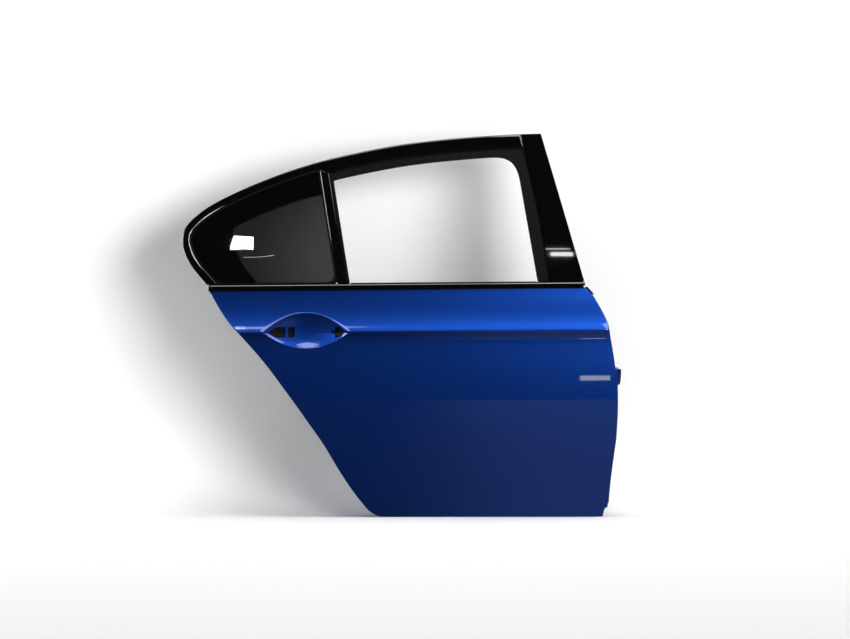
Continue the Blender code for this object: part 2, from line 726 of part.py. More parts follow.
def inner_panel():
    points, inward, first_front = edge_run()
    lift = BELT_LIP - GAP
    for k, edge in ((0, rear_x), (-1, front_x)):
        x = edge(BELT + lift)
        points[k] = flat(x, waist(x, BELT + lift)) + inward[k] * HEM_FOLD
    band = [point + way * SKIN_BAND for point, way in zip(points, inward)]

    def row(inset, wall=None, depth=None, shift=0.0):
        run = []
        for k, (point, way) in enumerate(zip(points, inward)):
            place = point + way * inset
            if wall is not None and k >= first_front:
                straight = hinge_x(point.y) - HINGE_SEAT_BACK
                place = flat(min(straight, point.x + way.x * FRONT_WALL_INSET) + wall, place.y)
            share = inset / SKIN_BAND
            level = skin_y(*point) * (1 - share) + skin_y(*band[k]) * share + FLANGE_Y
            run.append(Vector((place.x, level + shift if depth is None else depth(place), place.y)))
        return run

    small = FACE_RADIUS * 0.3
    runs = [row(EDGE_INSET),
            row(FLANGE_INSET),
            row(BEND_INSET, shift=BEND_INSET - FLANGE_INSET),
            row(BEND_INSET + small, None, lambda place: ledge_y(place) - FACE_RADIUS / 2),
            row(BEND_INSET + 2 * small, None, ledge_y),
            row(LEDGE_INSET, small, ledge_y),
            row(LEDGE_INSET + small, 0.0, lambda place: ledge_y(place) + small),
            row(WALL_INSET, 0.0, lambda place: face_y(*place) - FACE_RADIUS),
            row(WALL_INSET + small, -small, lambda place: face_y(*place) - small),
            row(FACE_INSET, -FACE_RADIUS, lambda place: face_y(*place))]
    face = [flat(point.x, point.z) for point in runs[-1]]
    top_count = round((face[-1].x - face[0].x) / COLUMN / 1.5)
    top = [face[-1].lerp(face[0], k / top_count) for k in range(1, top_count)]
    loop = face + top
    service = rounded_box(flat(-SERVICE_BACK, SERVICE_LEVEL), SERVICE_LENGTH, SERVICE_HEIGHT,
                          SERVICE_HEIGHT * 0.3, 4)
    speaker = ring(flat(-SPEAKER_BACK, -SPEAKER_DROP), SPEAKER_RADIUS, 28)
    plugs = [ring(place, PLUG_HOLE_RADIUS, ROUND_STEPS) for place in panel_places()]
    beads = []
    for number in range(3):
        middle = flat(-BEAD_BACK, -BEAD_DROP - BEAD_PITCH * number)
        outer = rounded_box(middle, BEAD_LENGTH, BEAD_HEIGHT, BEAD_HEIGHT * 0.5, 4)
        beads.append((outer, moved_loop(outer, BEAD_DEPTH)))
    seat = ring(flat(-SPEAKER_BACK, -SPEAKER_DROP), SPEAKER_RADIUS + 3 * BEAD_DEPTH, 28)
    seat_edge = ring(flat(-SPEAKER_BACK, -SPEAKER_DROP), SPEAKER_RADIUS + 2 * BEAD_DEPTH, 28)
    rim = moved_loop(service, -3 * BEAD_DEPTH)
    rim_edge = moved_loop(service, -2 * BEAD_DEPTH)
    lines = [line for bead in beads for line in bead] + [seat, seat_edge, rim, rim_edge]
    holes = [service, speaker, *plugs]
    holes += [ring(place, CLIP_RADIUS, 8) for place in clip_places(face, loop, lines + holes)]
    marks = lines + holes
    pressed = [inner for _, inner in beads] + [seat_edge, rim_edge]
    spots = []
    for step_z in range(1, 8):
        for step_x in range(1, 14):
            spot = flat(-REACH * step_x / 14, -SILL + (BELT + SILL) * step_z / 8)
            blocked = any(inside(spot, line) or distance_to(spot, line) < COLUMN / 3 for line in marks)
            if inside(spot, loop) and distance_to(spot, loop) > COLUMN / 3 and not blocked:
                spots.append(spot)

    def depth(x, z):
        spot = flat(x, z)
        sunk = any(inside(spot, line) or distance_to(spot, line) < GAP for line in pressed)
        return face_y(x, z) - (BEAD_DEPTH if sunk else 0.0)

    out, faces = filled(loop, holes, lines, spots)
    built, at = sheet_of(out, faces, depth)
    edge = [at(point) for point in face]
    for run in reversed(runs[:-1]):
        outer = [built.verts.new(place) for place in run]
        strip(built, edge, outer)
        edge = outer
    drop_loose(built)
    return make("inner_panel", built, blue, PANEL_GAUGE)


# Lines of the window surround, seen from outside

def line_at(low_back, high_back, level, high_level=UPPER_LEVEL):
    """A point, at a level, of a line given by two places behind the hinge line."""
    share = (level - WINDOW_LEVEL) / (high_level - WINDOW_LEVEL)
    return flat(-low_back + (low_back - high_back) * share, level)


def roof_end():
    return flat(-REACH * roof_shares[-1][0], BELT + (ROOF - BELT) * roof_shares[-1][1])


def pillar_front(level):
    return line_at(PILLAR_FRONT_BACK, -roof_end().x, level, roof_end().y)


def pillar_inner():
    """Inner edge of the front upright, from below the waist to above the roof."""
    low = flat(-PILLAR_BELT_BACK, WINDOW_LEVEL)
    middle = flat(-PILLAR_MIDDLE_BACK, (WINDOW_LEVEL + PILLAR_LEVEL) / 2)
    high = flat(-PILLAR_TOP_BACK, PILLAR_LEVEL)
    line = through([low, middle, high], 3)
    return [low + (line[0] - line[1]) * 3] + line + [high + (line[-1] - line[-2])]


def division(offset, level):
    """A point of the division: the offset is measured back from the main opening."""
    return line_at(DIVISION_BELT_BACK + offset, DIVISION_UPPER_BACK + offset, level)


def meet(run, a, b):
    """Where a run of points crosses the line through a and b, and after which point."""
    for k in range(len(run) - 1):
        near = (run[k] - a).cross(b - a)
        far = (run[k + 1] - a).cross(b - a)
        if (near > 0) != (far > 0):
            return run[k].lerp(run[k + 1], near / (near - far)), k
    return crossing(run[-2], run[-1], a, b), len(run) - 1


def on_waist(x, lift):
    return flat(x, waist(x, BELT + lift))


cover_back = RUN_DIVISION + DIVISION_COVER


def roof_run():
    """The roof edge from the front corner back round the rear point to the waist."""
    keys = [flat(-REACH * back, BELT + (ROOF - BELT) * up) for back, up in reversed(roof_shares)]
    run = through(keys, 2)
    for offset in (RUN_DIVISION, cover_back):
        spot, k = meet(run, division(offset, WINDOW_LEVEL), division(offset, UPPER_LEVEL))
        run = [point for point in run[:k + 1] if (point - spot).length > COVER_DEPTH] + [spot] + [
            point for point in run[k + 1:] if (point - spot).length > COVER_DEPTH]
    return run


waist_slide = flat(1, WAIST_RISE_SHARE)


def roof_inset(distance):
    return moved(roof_run(), distance, last=waist_slide)


def banded(name, outers, inners, section, finish):
    """A solid along a band of the window surround; section points are (side, offset, depth)."""
    rings = []
    for outer, inner in zip(outers, inners):
        across = (inner - outer).normalized()
        width = (inner - outer).length
        points = []
        for side, offset, depth in section:
            spot = outer + across * (side * width + offset)
            points.append(Vector((spot.x, upper_y(*spot) + depth, spot.y)))
        rings.append(points)
    return make(name, loft(rings), finish)


cover_section = ((0, 0, 0), (1, 0, 0), (1, 0, COVER_DEPTH), (1, -COVER_WALL, COVER_DEPTH),
                 (1, -COVER_WALL, COVER_WALL), (0, COVER_WALL, COVER_WALL),
                 (0, COVER_WALL, COVER_DEPTH), (0, 0, COVER_DEPTH))


def channel_section(face, depth, wall):
    return ((0, 0, face), (0, wall, face), (0, wall, depth - wall), (1, -wall, depth - wall),
            (1, -wall, face), (1, 0, face), (1, 0, depth), (0, 0, depth))


def levels_between(low, high):
    """Levels from low to high, through the ones that all upright pieces share."""
    step = (PILLAR_LEVEL - WINDOW_LEVEL) / 7
    shared = [WINDOW_LEVEL + step * k for k in range(-2, 8)]
    return [low] + [level for level in shared if low + step / 4 < level < high - step / 4] + [high]


# Window frame and its trims

def window_frame():
    inner_line = pillar_inner()
    panel_top = BELT + BELT_LIP
    outers = []
    inners = []
    points, inward, first_front = edge_run()
    walls = [point + way * FRONT_WALL_INSET for point, way in zip(points, inward)][first_front:]
    leg = levels_between(WINDOW_LEVEL - LEG_DEPTH, panel_top + GAP)
    for level in leg + levels_between(panel_top + 4 * GAP, PILLAR_LEVEL - RAIL_FRONT):
        outer = pillar_front(level) + flat(-FRAME_EDGE, 0)
        if level in leg:
            wall = min(meet(walls, flat(-1, level), flat(0, level))[0].x, hinge_x(level) - HINGE_SEAT_BACK)
            outer.x = min(outer.x, wall - FACE_RADIUS - COVER_WALL - HEM_FOLD)
        outers.append(outer)
        inners.append(meet(inner_line, flat(-1, level), flat(0, level))[0])
    outer_roof = moved(roof_run(), FRAME_EDGE, last=waist_slide)
    inner_roof = roof_inset(RAIL_FRONT)
    front = [pillar_front(WINDOW_LEVEL) - flat(FRAME_EDGE, 0), pillar_front(ROOF) - flat(FRAME_EDGE, 0)]
    outers.append(crossing(*front, outer_roof[0], outer_roof[1]))
    spot, k = meet(inner_roof, inner_line[-3], inner_line[-2])
    inners.append(spot)
    outers.extend(outer_roof[k + 1:])
    inners.extend(inner_roof[k + 1:])
    drop = WAIST_LIFT - BELT_LIP
    for side in (outers, inners):
        side[-1] = crossing(side[-2], side[-1], on_waist(-REACH, WAIST_LIFT - drop + GAP),
                            on_waist(0, WAIST_LIFT - drop + GAP))
    return banded("window_frame", outers, inners, channel_section(FRAME_FACE, FRAME_DEPTH, FRAME_GAUGE),
                  black_paint)


def frame_seal():
    levels = levels_between(WINDOW_LEVEL + GAP * 14, PILLAR_LEVEL)
    front = [pillar_front(level) for level in levels]
    run = front + roof_run()
    outers = moved(run, GAP, last=waist_slide)
    inners = moved(run, SEAL_WALL + GAP, last=waist_slide)
    section = ((0, 0, FRAME_FACE + GAP), (1, 0, FRAME_FACE + GAP), (1, 0, FRAME_DEPTH - SEAL_WALL),
               (1, -SEAL_WALL * 0.4, FRAME_DEPTH), (0, 0, FRAME_DEPTH - SEAL_WALL))
    return banded("frame_seal", outers, inners, section, rubber)


def roof_moulding():
    run = roof_run()
    inner_line = [point - flat(GAP, 0) for point in pillar_inner()]
    spot, k = meet(run, inner_line[-2], inner_line[-1])
    widths = []
    rear = division(cover_back, UPPER_LEVEL)
    down = division(cover_back, WINDOW_LEVEL) - rear
    for point in run:
        ahead = (rear - point).cross(down) / (UPPER_LEVEL - WINDOW_LEVEL)
        share = min(1.0, max(0.0, ahead / DIVISION_COVER))
        widths.append(RAIL_REAR + (RAIL_FRONT - RAIL_REAR) * share)
    inner = moved(run, widths, last=waist_slide)
    corner_spot, j = meet(inner, inner_line[-3], inner_line[-2])
    start = max(k, j) + 1
    outers = [spot] + run[start:]
    inners = [corner_spot] + inner[start:]
    outers[-1] = crossing(run[-2], run[-1], on_waist(-REACH, WAIST_LIFT + GAP), on_waist(0, WAIST_LIFT + GAP))
    return banded("roof_moulding", outers, inners, cover_section, gloss_black)


def pillar_cover():
    line = pillar_inner()
    spot, _ = meet(roof_run(), line[-2], line[-1])
    levels = levels_between(WINDOW_LEVEL + GAP * 14, PILLAR_LEVEL)
    outers = [pillar_front(level) for level in levels] + [roof_end()]
    inners = [meet(line, flat(-1, level), flat(0, level))[0] for level in levels[:-1]] + [line[-2], spot]
    return banded("pillar_cover", outers, inners, cover_section, gloss_black)


def division_band(low, left_inset):
    """Both sides of the division from a level up to the roof's trims."""
    sides = []
    for offset, inset in ((cover_back - GAP, left_inset), (RUN_DIVISION + GAP, RAIL_FRONT)):
        line = (division(offset, WINDOW_LEVEL), division(offset, UPPER_LEVEL))
        high, _ = meet(roof_inset(inset + SEAM_GAP), *line)
        levels = levels_between(low, division_top())
        sides.append([crossing(*line, flat(0, level), flat(1, level)) for level in levels] + [high])
    return sides


def division_top():
    return PILLAR_LEVEL - 4 * RAIL_FRONT


def division_cover():
    lefts, rights = division_band(WINDOW_LEVEL + GAP * 2, RAIL_REAR)
    return banded("division_cover", lefts, rights, cover_section, gloss_black)


def division_post():
    lefts, rights = division_band(WINDOW_LEVEL - LEG_DEPTH, RAIL_FRONT)
    section = channel_section(FRAME_FACE, FRAME_DEPTH - COVER_WALL, FRAME_GAUGE)
    return banded("division_post", lefts, rights, section, black_paint)


def glass_run():
    line = [point - flat(2 * GAP, 0) for point in pillar_inner()]
    outer_roof = roof_inset(RAIL_FRONT + 2 * GAP)
    inner_roof = roof_inset(WINDOW_RAIL)
    front_low = line_at(OPENING_BELT_BACK, OPENING_UPPER_BACK, WINDOW_LEVEL + GAP * 12)
    front_high = line_at(OPENING_BELT_BACK, OPENING_UPPER_BACK, UPPER_LEVEL)
    inner_spot, k = meet(inner_roof, front_low, front_high)
    outer_spot, j = meet(outer_roof, line[-3], line[-2])
    along_roof = (inner_roof[k + 1] - inner_spot).normalized()
    down = (front_low - front_high).normalized()
    inner_arc = corner(inner_spot + down * OPENING_RADIUS, inner_spot,
                       inner_spot + along_roof * OPENING_RADIUS, 4)
    outer_arc = corner(outer_spot + down * (OPENING_RADIUS / 2), outer_spot,
                       outer_spot + along_roof * (OPENING_RADIUS / 2), 4)
    inners = []
    outers = []
    for level in levels_between(front_low.y, min(inner_arc[0].y, outer_arc[0].y) - COVER_DEPTH):
        inners.append(line_at(OPENING_BELT_BACK, OPENING_UPPER_BACK, level))
        outers.append(meet(line, flat(-1, level), flat(0, level))[0])
    inners.extend(inner_arc)
    outers.extend(outer_arc)
    edge = (division(0, WINDOW_LEVEL), division(0, UPPER_LEVEL))
    wall = (division(RUN_DIVISION, WINDOW_LEVEL), division(RUN_DIVISION, UPPER_LEVEL))
    inner_end, k_end = meet(inner_roof, *edge)
    outer_end, j_end = meet(outer_roof, *wall)
    for n in range(max(k, j) + 1, min(k_end, j_end) + 1):
        if inner_roof[n].x < inner_arc[-1].x - COVER_DEPTH and inner_roof[n].x > inner_end.x + COVER_DEPTH:
            inners.append(inner_roof[n])
            outers.append(outer_roof[n])
    inners.append(inner_end)
    outers.append(outer_end)
    for level in reversed(levels_between(WINDOW_LEVEL + GAP * 2, division_top())):
        inners.append(division(0, level))
        outers.append(division(RUN_DIVISION - GAP, level))
    face, depth, wall = RUN_FACE, RUN_DEPTH, RUN_WALL
    section = ((0, 0, face), (1, 0, face), (1, 0, face + wall), (0, wall, face + wall),
               (0, wall, depth - wall), (1, -wall, depth - wall), (1, -wall, depth), (0, 0, depth))
    return banded("glass_run", outers, inners, section, rubber)


def glass_loop():
    """Edge of the quarter glass, counter-clockwise."""
    curve = roof_inset(RAIL_REAR + GAP + GASKET_LIP)
    side = cover_back + GAP + GASKET_LIP
    low = [on_waist(x, WAIST_LIFT + 2 * GAP + GASKET_LIP) for x in (-REACH, 0)]
    right = (division(side, WINDOW_LEVEL), division(side, UPPER_LEVEL))
    top, k = meet(curve, *right)
    end, j = meet(curve, *low)
    inner = [point for point in curve[k + 1:j + 1] if (point - top).length > COVER_DEPTH
             and (point - end).length > COVER_DEPTH]
    foot = crossing(*right, *low)
    sill = [end.lerp(foot, k / 6) for k in range(1, 6)]
    levels = levels_between(foot.y + COVER_DEPTH, top.y - COVER_DEPTH)
    side_points = [crossing(*right, flat(0, level), flat(1, level)) for level in levels[1:-1]]
    return [end, *sill, foot, *side_points, top, *inner]


def quarter_glass():
    loop = glass_loop()
    spots = []
    low = min(point.y for point in loop)
    high = max(point.y for point in loop)
    back = min(point.x for point in loop)
    front = max(point.x for point in loop)
    for a in range(1, 7):
        for b in range(1, 7):
            spot = flat(back + (front - back) * a / 7, low + (high - low) * b / 7)
            if inside(spot, loop) and distance_to(spot, loop) > COVER_DEPTH:
                spots.append(spot)
    out, faces = filled(loop, [], [], spots)
    built, _ = sheet_of(out, faces, lambda x, z: upper_y(x, z) + GLASS_FACE)
    drop_loose(built)
    deepen(built, GLASS_GAUGE)
    return make("quarter_glass", built, dark_glass)


def quarter_glass_gasket():
    loop = glass_loop()
    lip, seat, back = GASKET_LIP, GASKET_SEAT, GLASS_FACE + GLASS_GAUGE + 2 * GAP
    section = ((-lip, SEAM_GAP), (-GAP, SEAM_GAP), (-GAP, back), (seat, back), (seat, COVER_DEPTH),
               (-lip, COVER_DEPTH))
    lines = [[Vector((spot.x, upper_y(*spot) + depth, spot.y)) for spot in moved_loop(loop, offset)]
             for offset, depth in section]
    rings = [[line[k] for line in lines] for k in range(len(loop))]
    return make("quarter_glass_gasket", loft(rings, wrap=True), rubber)


# Waist

def waist_strip(name, section, ends, finish):
    """A strip along the waist; section points are (inboard of the skin, above the waist)."""
    count = round((ends[1] - ends[0]) / COLUMN)
    rings = []
    for k in range(count + 1):
        points = []
        for depth, above in section:
            low, high = (end if isinstance(end, float) else end(BELT + above) for end in ends)
            x = low + (high - low) * k / count
            z = waist(x, BELT + above)
            points.append(Vector((x, skin_y(x, z) + depth, z)))
        rings.append(points)
    return make(name, loft(rings), finish)


def belt_moulding():
    proud = COVER_WALL
    top = WAIST_LIFT - SEAM_GAP / 2
    inner = COVER_DEPTH
    seat = BELT_LIP + SEAM_GAP
    section = ((-proud, 0), (-proud * 1.05, top * 0.45), (-proud * 0.75, top * 0.75),
               (-proud * 0.2, top * 0.93),
               (proud * 0.6, top), (inner, top), (inner, seat), (inner - proud / 2, seat),
               (inner - proud / 2, seat + proud / 2), (-SEAM_GAP, seat + proud / 2), (-SEAM_GAP, 0))
    return waist_strip("belt_moulding", section, (rear_x(BELT), -PILLAR_FRONT_BACK + GAP * 3), gloss_black)


def belt_wiper_lip():
    start = COVER_DEPTH + GAP
    section = ((start, WAIST_LIFT * 0.55), (start, WAIST_LIFT * 0.9),
               (start + RUN_WALL * 1.6, WAIST_LIFT * 1.15),
               (start + RUN_WALL * 2, WAIST_LIFT * 1.1), (start + RUN_WALL, WAIST_LIFT * 0.8),
               (start + RUN_WALL, WAIST_LIFT * 0.55))
    ends = (-DIVISION_BELT_BACK + GAP * 4, -OPENING_BELT_BACK - GAP * 4)
    return waist_strip("belt_wiper_lip", section, ends, rubber)


def belt_reinforcement_outer():
    near = SKIN_GAUGE * 1.5 + SEAM_GAP
    far = near + BELT_CHANNEL_DEPTH
    wall = FRAME_GAUGE
    top = -BELT_CHANNEL_DROP
    low = top - BELT_CHANNEL_HEIGHT
    section = ((near, low), (near, low + wall), (far - wall, low + wall), (far - wall, top - wall),
               (near, top - wall), (near, top), (far, top), (far, low))
    ends = (-CHANNEL_REAR_BACK, -CHANNEL_FRONT_BACK)
    return waist_strip("belt_reinforcement_outer", section, ends, grey_metal)


def belt_reinforcement_inner():
    wall = FRAME_GAUGE
    count = round((CHANNEL_REAR_BACK - CHANNEL_FRONT_BACK) / COLUMN)
    rings = []
    for k in range(count + 1):
        x = -CHANNEL_REAR_BACK + (CHANNEL_REAR_BACK - CHANNEL_FRONT_BACK) * k / count
        top = waist(x, BELT + BELT_LIP - 2 * GAP)
        low = top - BELT_CHANNEL_HEIGHT
        out = upper_y(x, top) + FRAME_DEPTH + 3 * GAP
        seats = [face_y(x, z) - SEAM_GAP for z in (low, top)]
        section = ((out, low), (out, top), (seats[1], top), (seats[1], top - wall), (out + wall, top - wall),
                   (out + wall, low + wall), (seats[0], low + wall), (seats[0], low))
        rings.append([Vector((x, y, z)) for y, z in section])
    return make("belt_reinforcement_inner", loft(rings), grey_metal)


def front_edge_plug():
    low, high = BELT - WAIST_LIFT, BELT + GAP
    middle = (low + high) / 2
    gap = 3 * GAP
    loop = [flat(front_x(low) + gap, low), flat(front_x(low) + COVER_DEPTH * 0.7, low + COVER_WALL * 0.2),
            flat(front_x(middle) + COVER_DEPTH * 0.5, middle + COVER_WALL * 0.5),
            flat(front_x(high) + COVER_WALL, high + COVER_WALL),
            flat(front_x(high) - gap, high + COVER_WALL * 0.8),
            flat(front_x(high - COVER_WALL) + gap, high - COVER_WALL), flat(front_x(middle) + gap, middle)]
    face = (skin_y(*loop[0]) + skin_y(*loop[3])) / 2
    depths = (GAP * 2, HEM_FOLD + COVER_DEPTH)
    rings = [[Vector((spot.x, face + depth, spot.y)) for spot in loop] for depth in depths]
    return make("front_edge_plug", loft(rings), rubber)


# Inside the door

def beam_end():
    return rear_x(-BEAM_REAR_DROP) + BEAM_EDGE


def beam_level(x):
    share = (x + BEAM_FRONT_BACK) / (beam_end() + BEAM_FRONT_BACK)
    return BEAM_FRONT_LEVEL - (BEAM_FRONT_LEVEL + BEAM_REAR_DROP) * share


def intrusion_beam():
    """A pressed beam with two ribs, open towards the inner panel."""
    wall = PLATE_GAUGE
    rings = []
    length = -BEAM_FRONT_BACK - beam_end()
    count = round(length / COLUMN)
    shares = ((-0.5, 1), (-0.34, 1), (-0.25, 0), (-0.12, 0), (-0.06, 0.6), (0.06, 0.6), (0.12, 0), (0.25, 0),
              (0.34, 1), (0.5, 1))
    for k in range(count + 1):
        x = beam_end() + length * k / count
        level = beam_level(x)
        near = skin_y(x, level) + BEAM_CLEAR
        outer = [Vector((x, near + (BEAM_DEPTH - wall) * depth, level + BEAM_HEIGHT * up))
                 for up, depth in shares]
        inner = [point + Vector((0, wall, 0)) for point in reversed(outer)]
        rings.append(outer + inner)
    return make("intrusion_beam", loft(rings), grey_metal)


def beam_bracket(name, inner_x, edge, direction):
    """A joggled plate from the beam's inboard side to the panel's ledge."""
    wall = PLATE_GAUGE
    level = beam_level(inner_x)
    beam = skin_y(inner_x, level) + BEAM_CLEAR + BEAM_DEPTH + SEAM_GAP
    ledge = LEDGE_Y - SEAM_GAP - wall
    mid_ledge = (BEND_INSET + FACE_RADIUS + LEDGE_INSET) / 2
    stations = ((inner_x - direction * BEAM_HEIGHT * 0.6, beam, 0.62),
                (inner_x + direction * GAP * 10, beam, 0.62),
                (inner_x + direction * GAP * 20, ledge, 0.7), (None, ledge, 0.7))
    rings = []
    for x, near, share in stations:
        corners = []
        for up in (-share, share):
            z = beam_level(inner_x if x is None else x) + BEAM_HEIGHT * up
            corners.append(flat(edge(z) - direction * mid_ledge if x is None else x, z))
        rings.append([Vector((corners[0].x, near, corners[0].y)), Vector((corners[1].x, near, corners[1].y)),
                      Vector((corners[1].x, near + wall, corners[1].y)),
                      Vector((corners[0].x, near + wall, corners[0].y))])
    return make(name, loft(rings), grey_metal)


def handle_carrier():
    rim = recess_rim(CARRIER_SHARE, 8)
    deepest = max(dish_y(x, z) for share in (0.1, 0.3, 0.5, 0.7) for x, z in recess_rim(share, 6))
    near = deepest + SKIN_GAUGE + GAP / 3
    steps = ((0, 0.96), (CARRIER_GAUGE / 2, 1.0), (CARRIER_GAUGE, 1.0), (CARRIER_GAUGE * 2, 0.9))
    middle = flat(-RECESS_BACK, RECESS_LEVEL)
    rings = []
    for depth, size in steps:
        spots = [middle + (spot - middle) * size for spot in rim]
        rings.append([Vector((spot.x, near + depth, spot.y)) for spot in spots])
    return make("handle_carrier", loft(rings), plastic)


def access_plug(name, place):
    face = face_y(*place)
    neck = PLUG_HOLE_RADIUS - SEAM_GAP
    flange = PLUG_HOLE_RADIUS + COVER_WALL
    seat = PANEL_GAUGE + GAP
    profile = ((-COVER_WALL, neck * 0.9), (-COVER_WALL / 2, neck), (seat, neck), (seat, flange),
               (seat + COVER_WALL / 3, flange), (seat + COVER_WALL, flange * 0.8))
    return make(name, turned(profile, Vector((place.x, face, place.y)), Vector((0, 1, 0))), rubber)


# Hinges

hinge_turn = Matrix.Rotation(HINGE_TILT, 3, "Y")


def on_hinge(x, y, z):
    """A place given in the hinge's own frame, whose z runs up the hinge line."""
    return hinge_turn @ Vector((x, y, z))


def hinge_plate_x():
    return -HINGE_SEAT_BACK * math.cos(HINGE_TILT) + PANEL_GAUGE + GAP


def bolt_levels(level):
    return level - BOLT_SPACING / 2, level + BOLT_SPACING / 2


def prism(loop, low, high):
    """A prism in the hinge's frame from an outline of (x, y)."""
    return loft([[on_hinge(x, y, z) for x, y in loop] for z in (low, high)])


def hinge_leaf(name, level, nose):
    back = hinge_plate_x()
    front = back + LEAF_GAUGE
    side = -BARREL_RADIUS
    outline = [(back, side), (front, side), (front, side + LEAF_WIDTH), (back, side + LEAF_WIDTH)]
    leaf = make(name, prism(outline, level - LEAF_HEIGHT / 2, level + LEAF_HEIGHT / 2), blue)
    half = BARREL_HEIGHT / 2
    rings = []
    for up, size in ((-1.0, 0.82), (-0.86, 0.97), (-0.6, 1.0), (0.6, 1.0), (0.86, 0.97), (1.0, 0.82)):
        points = []
        for k in range(ROUND_STEPS):
            turn = math.tau * k / ROUND_STEPS
            reach = nose if math.cos(turn) > 0 else BARREL_RADIUS
            x = math.cos(turn) * reach * size
            if math.cos(turn) < -0.2:
                x = back + LEAF_GAUGE / 2
            points.append(on_hinge(x, math.sin(turn) * BARREL_RADIUS * size, level + up * half))
        rings.append(points)
    barrel = make(name + "_barrel", loft(rings), blue)
    barrel.hide_render = True
    barrel.display_type = "WIRE"
    joined = leaf.modifiers.new("barrel", "BOOLEAN")
    joined.operation = "UNION"
    joined.solver = "EXACT"
    joined.object = barrel
    bore = round_cutter(name + "_bore", PIN_RADIUS + PIN_CLEAR, on_hinge(0, 0, level - half - OVERRUN),
                        on_hinge(0, 0, level + half + OVERRUN))
    cut(leaf, bore, *bolt_holes)
    return leaf


def hinge_pin(name, level):
    half = BARREL_HEIGHT / 2
    seat = half + GAP
    profile = ((-half - PIN_TAIL, PIN_RADIUS * 0.6), (-half - PIN_TAIL + PIN_HEAD / 2, PIN_RADIUS),
               (seat, PIN_RADIUS), (seat, PIN_RADIUS * 1.6), (seat + PIN_HEAD * 0.7, PIN_RADIUS * 1.6),
               (seat + PIN_HEAD, PIN_RADIUS * 1.2))
    return make(name, turned(profile, on_hinge(0, 0, level), on_hinge(0, 0, 1)), steel)


def hinge_bolt(name, level):
    face = hinge_plate_x() + LEAF_GAUGE + GAP
    tail = hinge_plate_x() - PANEL_GAUGE - PLATE_GAUGE - 3 * GAP - BOLT_TAIL
    along = on_hinge(1, 0, 0)
    base = on_hinge(0, BOLT_Y - BARREL_RADIUS, level)
    profile = ((tail, BOLT_RADIUS * 0.8), (tail + BOLT_RADIUS / 2, BOLT_RADIUS), (face, BOLT_RADIUS),
               (face, BOLT_RADIUS * 2.2), (face + BOLT_HEAD * 0.25, BOLT_RADIUS * 2.2),
               (face + BOLT_HEAD * 0.35, BOLT_RADIUS * 1.7), (face + BOLT_HEAD, BOLT_RADIUS * 1.6))
    return make(name, turned(profile, base, along, 12), zinc)


def hinge_reinforcement(levels):
    far = -HINGE_SEAT_BACK * math.cos(HINGE_TILT) - SEAM_GAP
    near = far - PLATE_GAUGE
    side = -BARREL_RADIUS
    loop = [(near, side), (far, side), (far, side + LEAF_WIDTH), (near, side + LEAF_WIDTH)]
    low = min(levels) - LEAF_HEIGHT * 0.6
    high = max(levels) + LEAF_HEIGHT * 0.55
    plate = make("hinge_reinforcement", prism(loop, low, high), grey_metal)
    cut(plate, *bolt_holes)
    return plate


# Latch

def latch_frame():
    """A point of the rear wall beside the latch, its upward direction and its inward one."""
    levels = (LATCH_LEVEL - LATCH_HEIGHT / 2, LATCH_LEVEL + LATCH_HEIGHT / 2)
    spots = [flat(rear_x(level), level) for level in levels]
    up = (spots[1] - spots[0]).normalized()
    inward = flat(up.y, -up.x)
    return (spots[0] + spots[1]) / 2 - up * (inward.y * WALL_INSET / up.y), up, inward


def latch_box(name, inset, depth, height, low, high, finish):
    middle, up, inward = latch_frame()
    rings = []
    for along in (-height / 2, height / 2):
        ends = [middle + up * along + inward * (inset + across) for across in (0, depth)]
        rings.append([Vector((ends[0].x, low, ends[0].y)), Vector((ends[1].x, low, ends[1].y)),
                      Vector((ends[1].x, high, ends[1].y)), Vector((ends[0].x, high, ends[0].y))])
    return make(name, loft(rings), finish)


def latch_reinforcement():
    """A plate bent along the rear wall, round the latch opening."""
    low = LATCH_Y - LATCH_OPENING * 0.9
    high = LATCH_Y + LATCH_OPENING * 0.56
    wall = edge_run()
    spots = [point + way * (WALL_INSET + 3 * GAP) for point, way in zip(wall[0], wall[1])][:len(rows)]
    levels = [spot.y for spot in spots if abs(spot.y - LATCH_LEVEL) < LATCH_HEIGHT * 0.7]
    ends = [LATCH_LEVEL + LATCH_HEIGHT * 0.75, LATCH_LEVEL - LATCH_HEIGHT * 0.75]
    rings = []
    for level in [ends[0], *levels, ends[1]]:
        spot, _ = meet(spots, flat(-REACH, level), flat(0, level))
        x = spot.x
        rings.append([Vector((x, low, level)), Vector((x + PLATE_GAUGE, low, level)),
                      Vector((x + PLATE_GAUGE, high, level)), Vector((x, high, level))])
    plate = make("latch_reinforcement", loft(rings), grey_metal)
    cut(plate, latch_cutter)
    return plate


# The whole door

door = bpy.data.objects.new("door", None)
bpy.context.scene.collection.objects.link(door)

blue = material("blue_paint", (0.010, 0.045, 0.240), 0.25, 0.5)
gloss_black = material("gloss_black", (0.006, 0.006, 0.007), 0.12, 0.0)
black_paint = material("black_paint", (0.010, 0.010, 0.011), 0.40, 0.0)
rubber = material("rubber", (0.015, 0.015, 0.016), 0.75, 0.0)
plastic = material("black_plastic", (0.012, 0.012, 0.013), 0.55, 0.0)
dark_glass = material("dark_glass", (0.020, 0.025, 0.024), 0.05, 0.0)
grey_metal = material("primed_steel", (0.20, 0.21, 0.22), 0.50, 0.3)
steel = material("steel", (0.45, 0.45, 0.47), 0.35, 1.0)
zinc = material("zinc", (0.55, 0.53, 0.45), 0.35, 1.0)

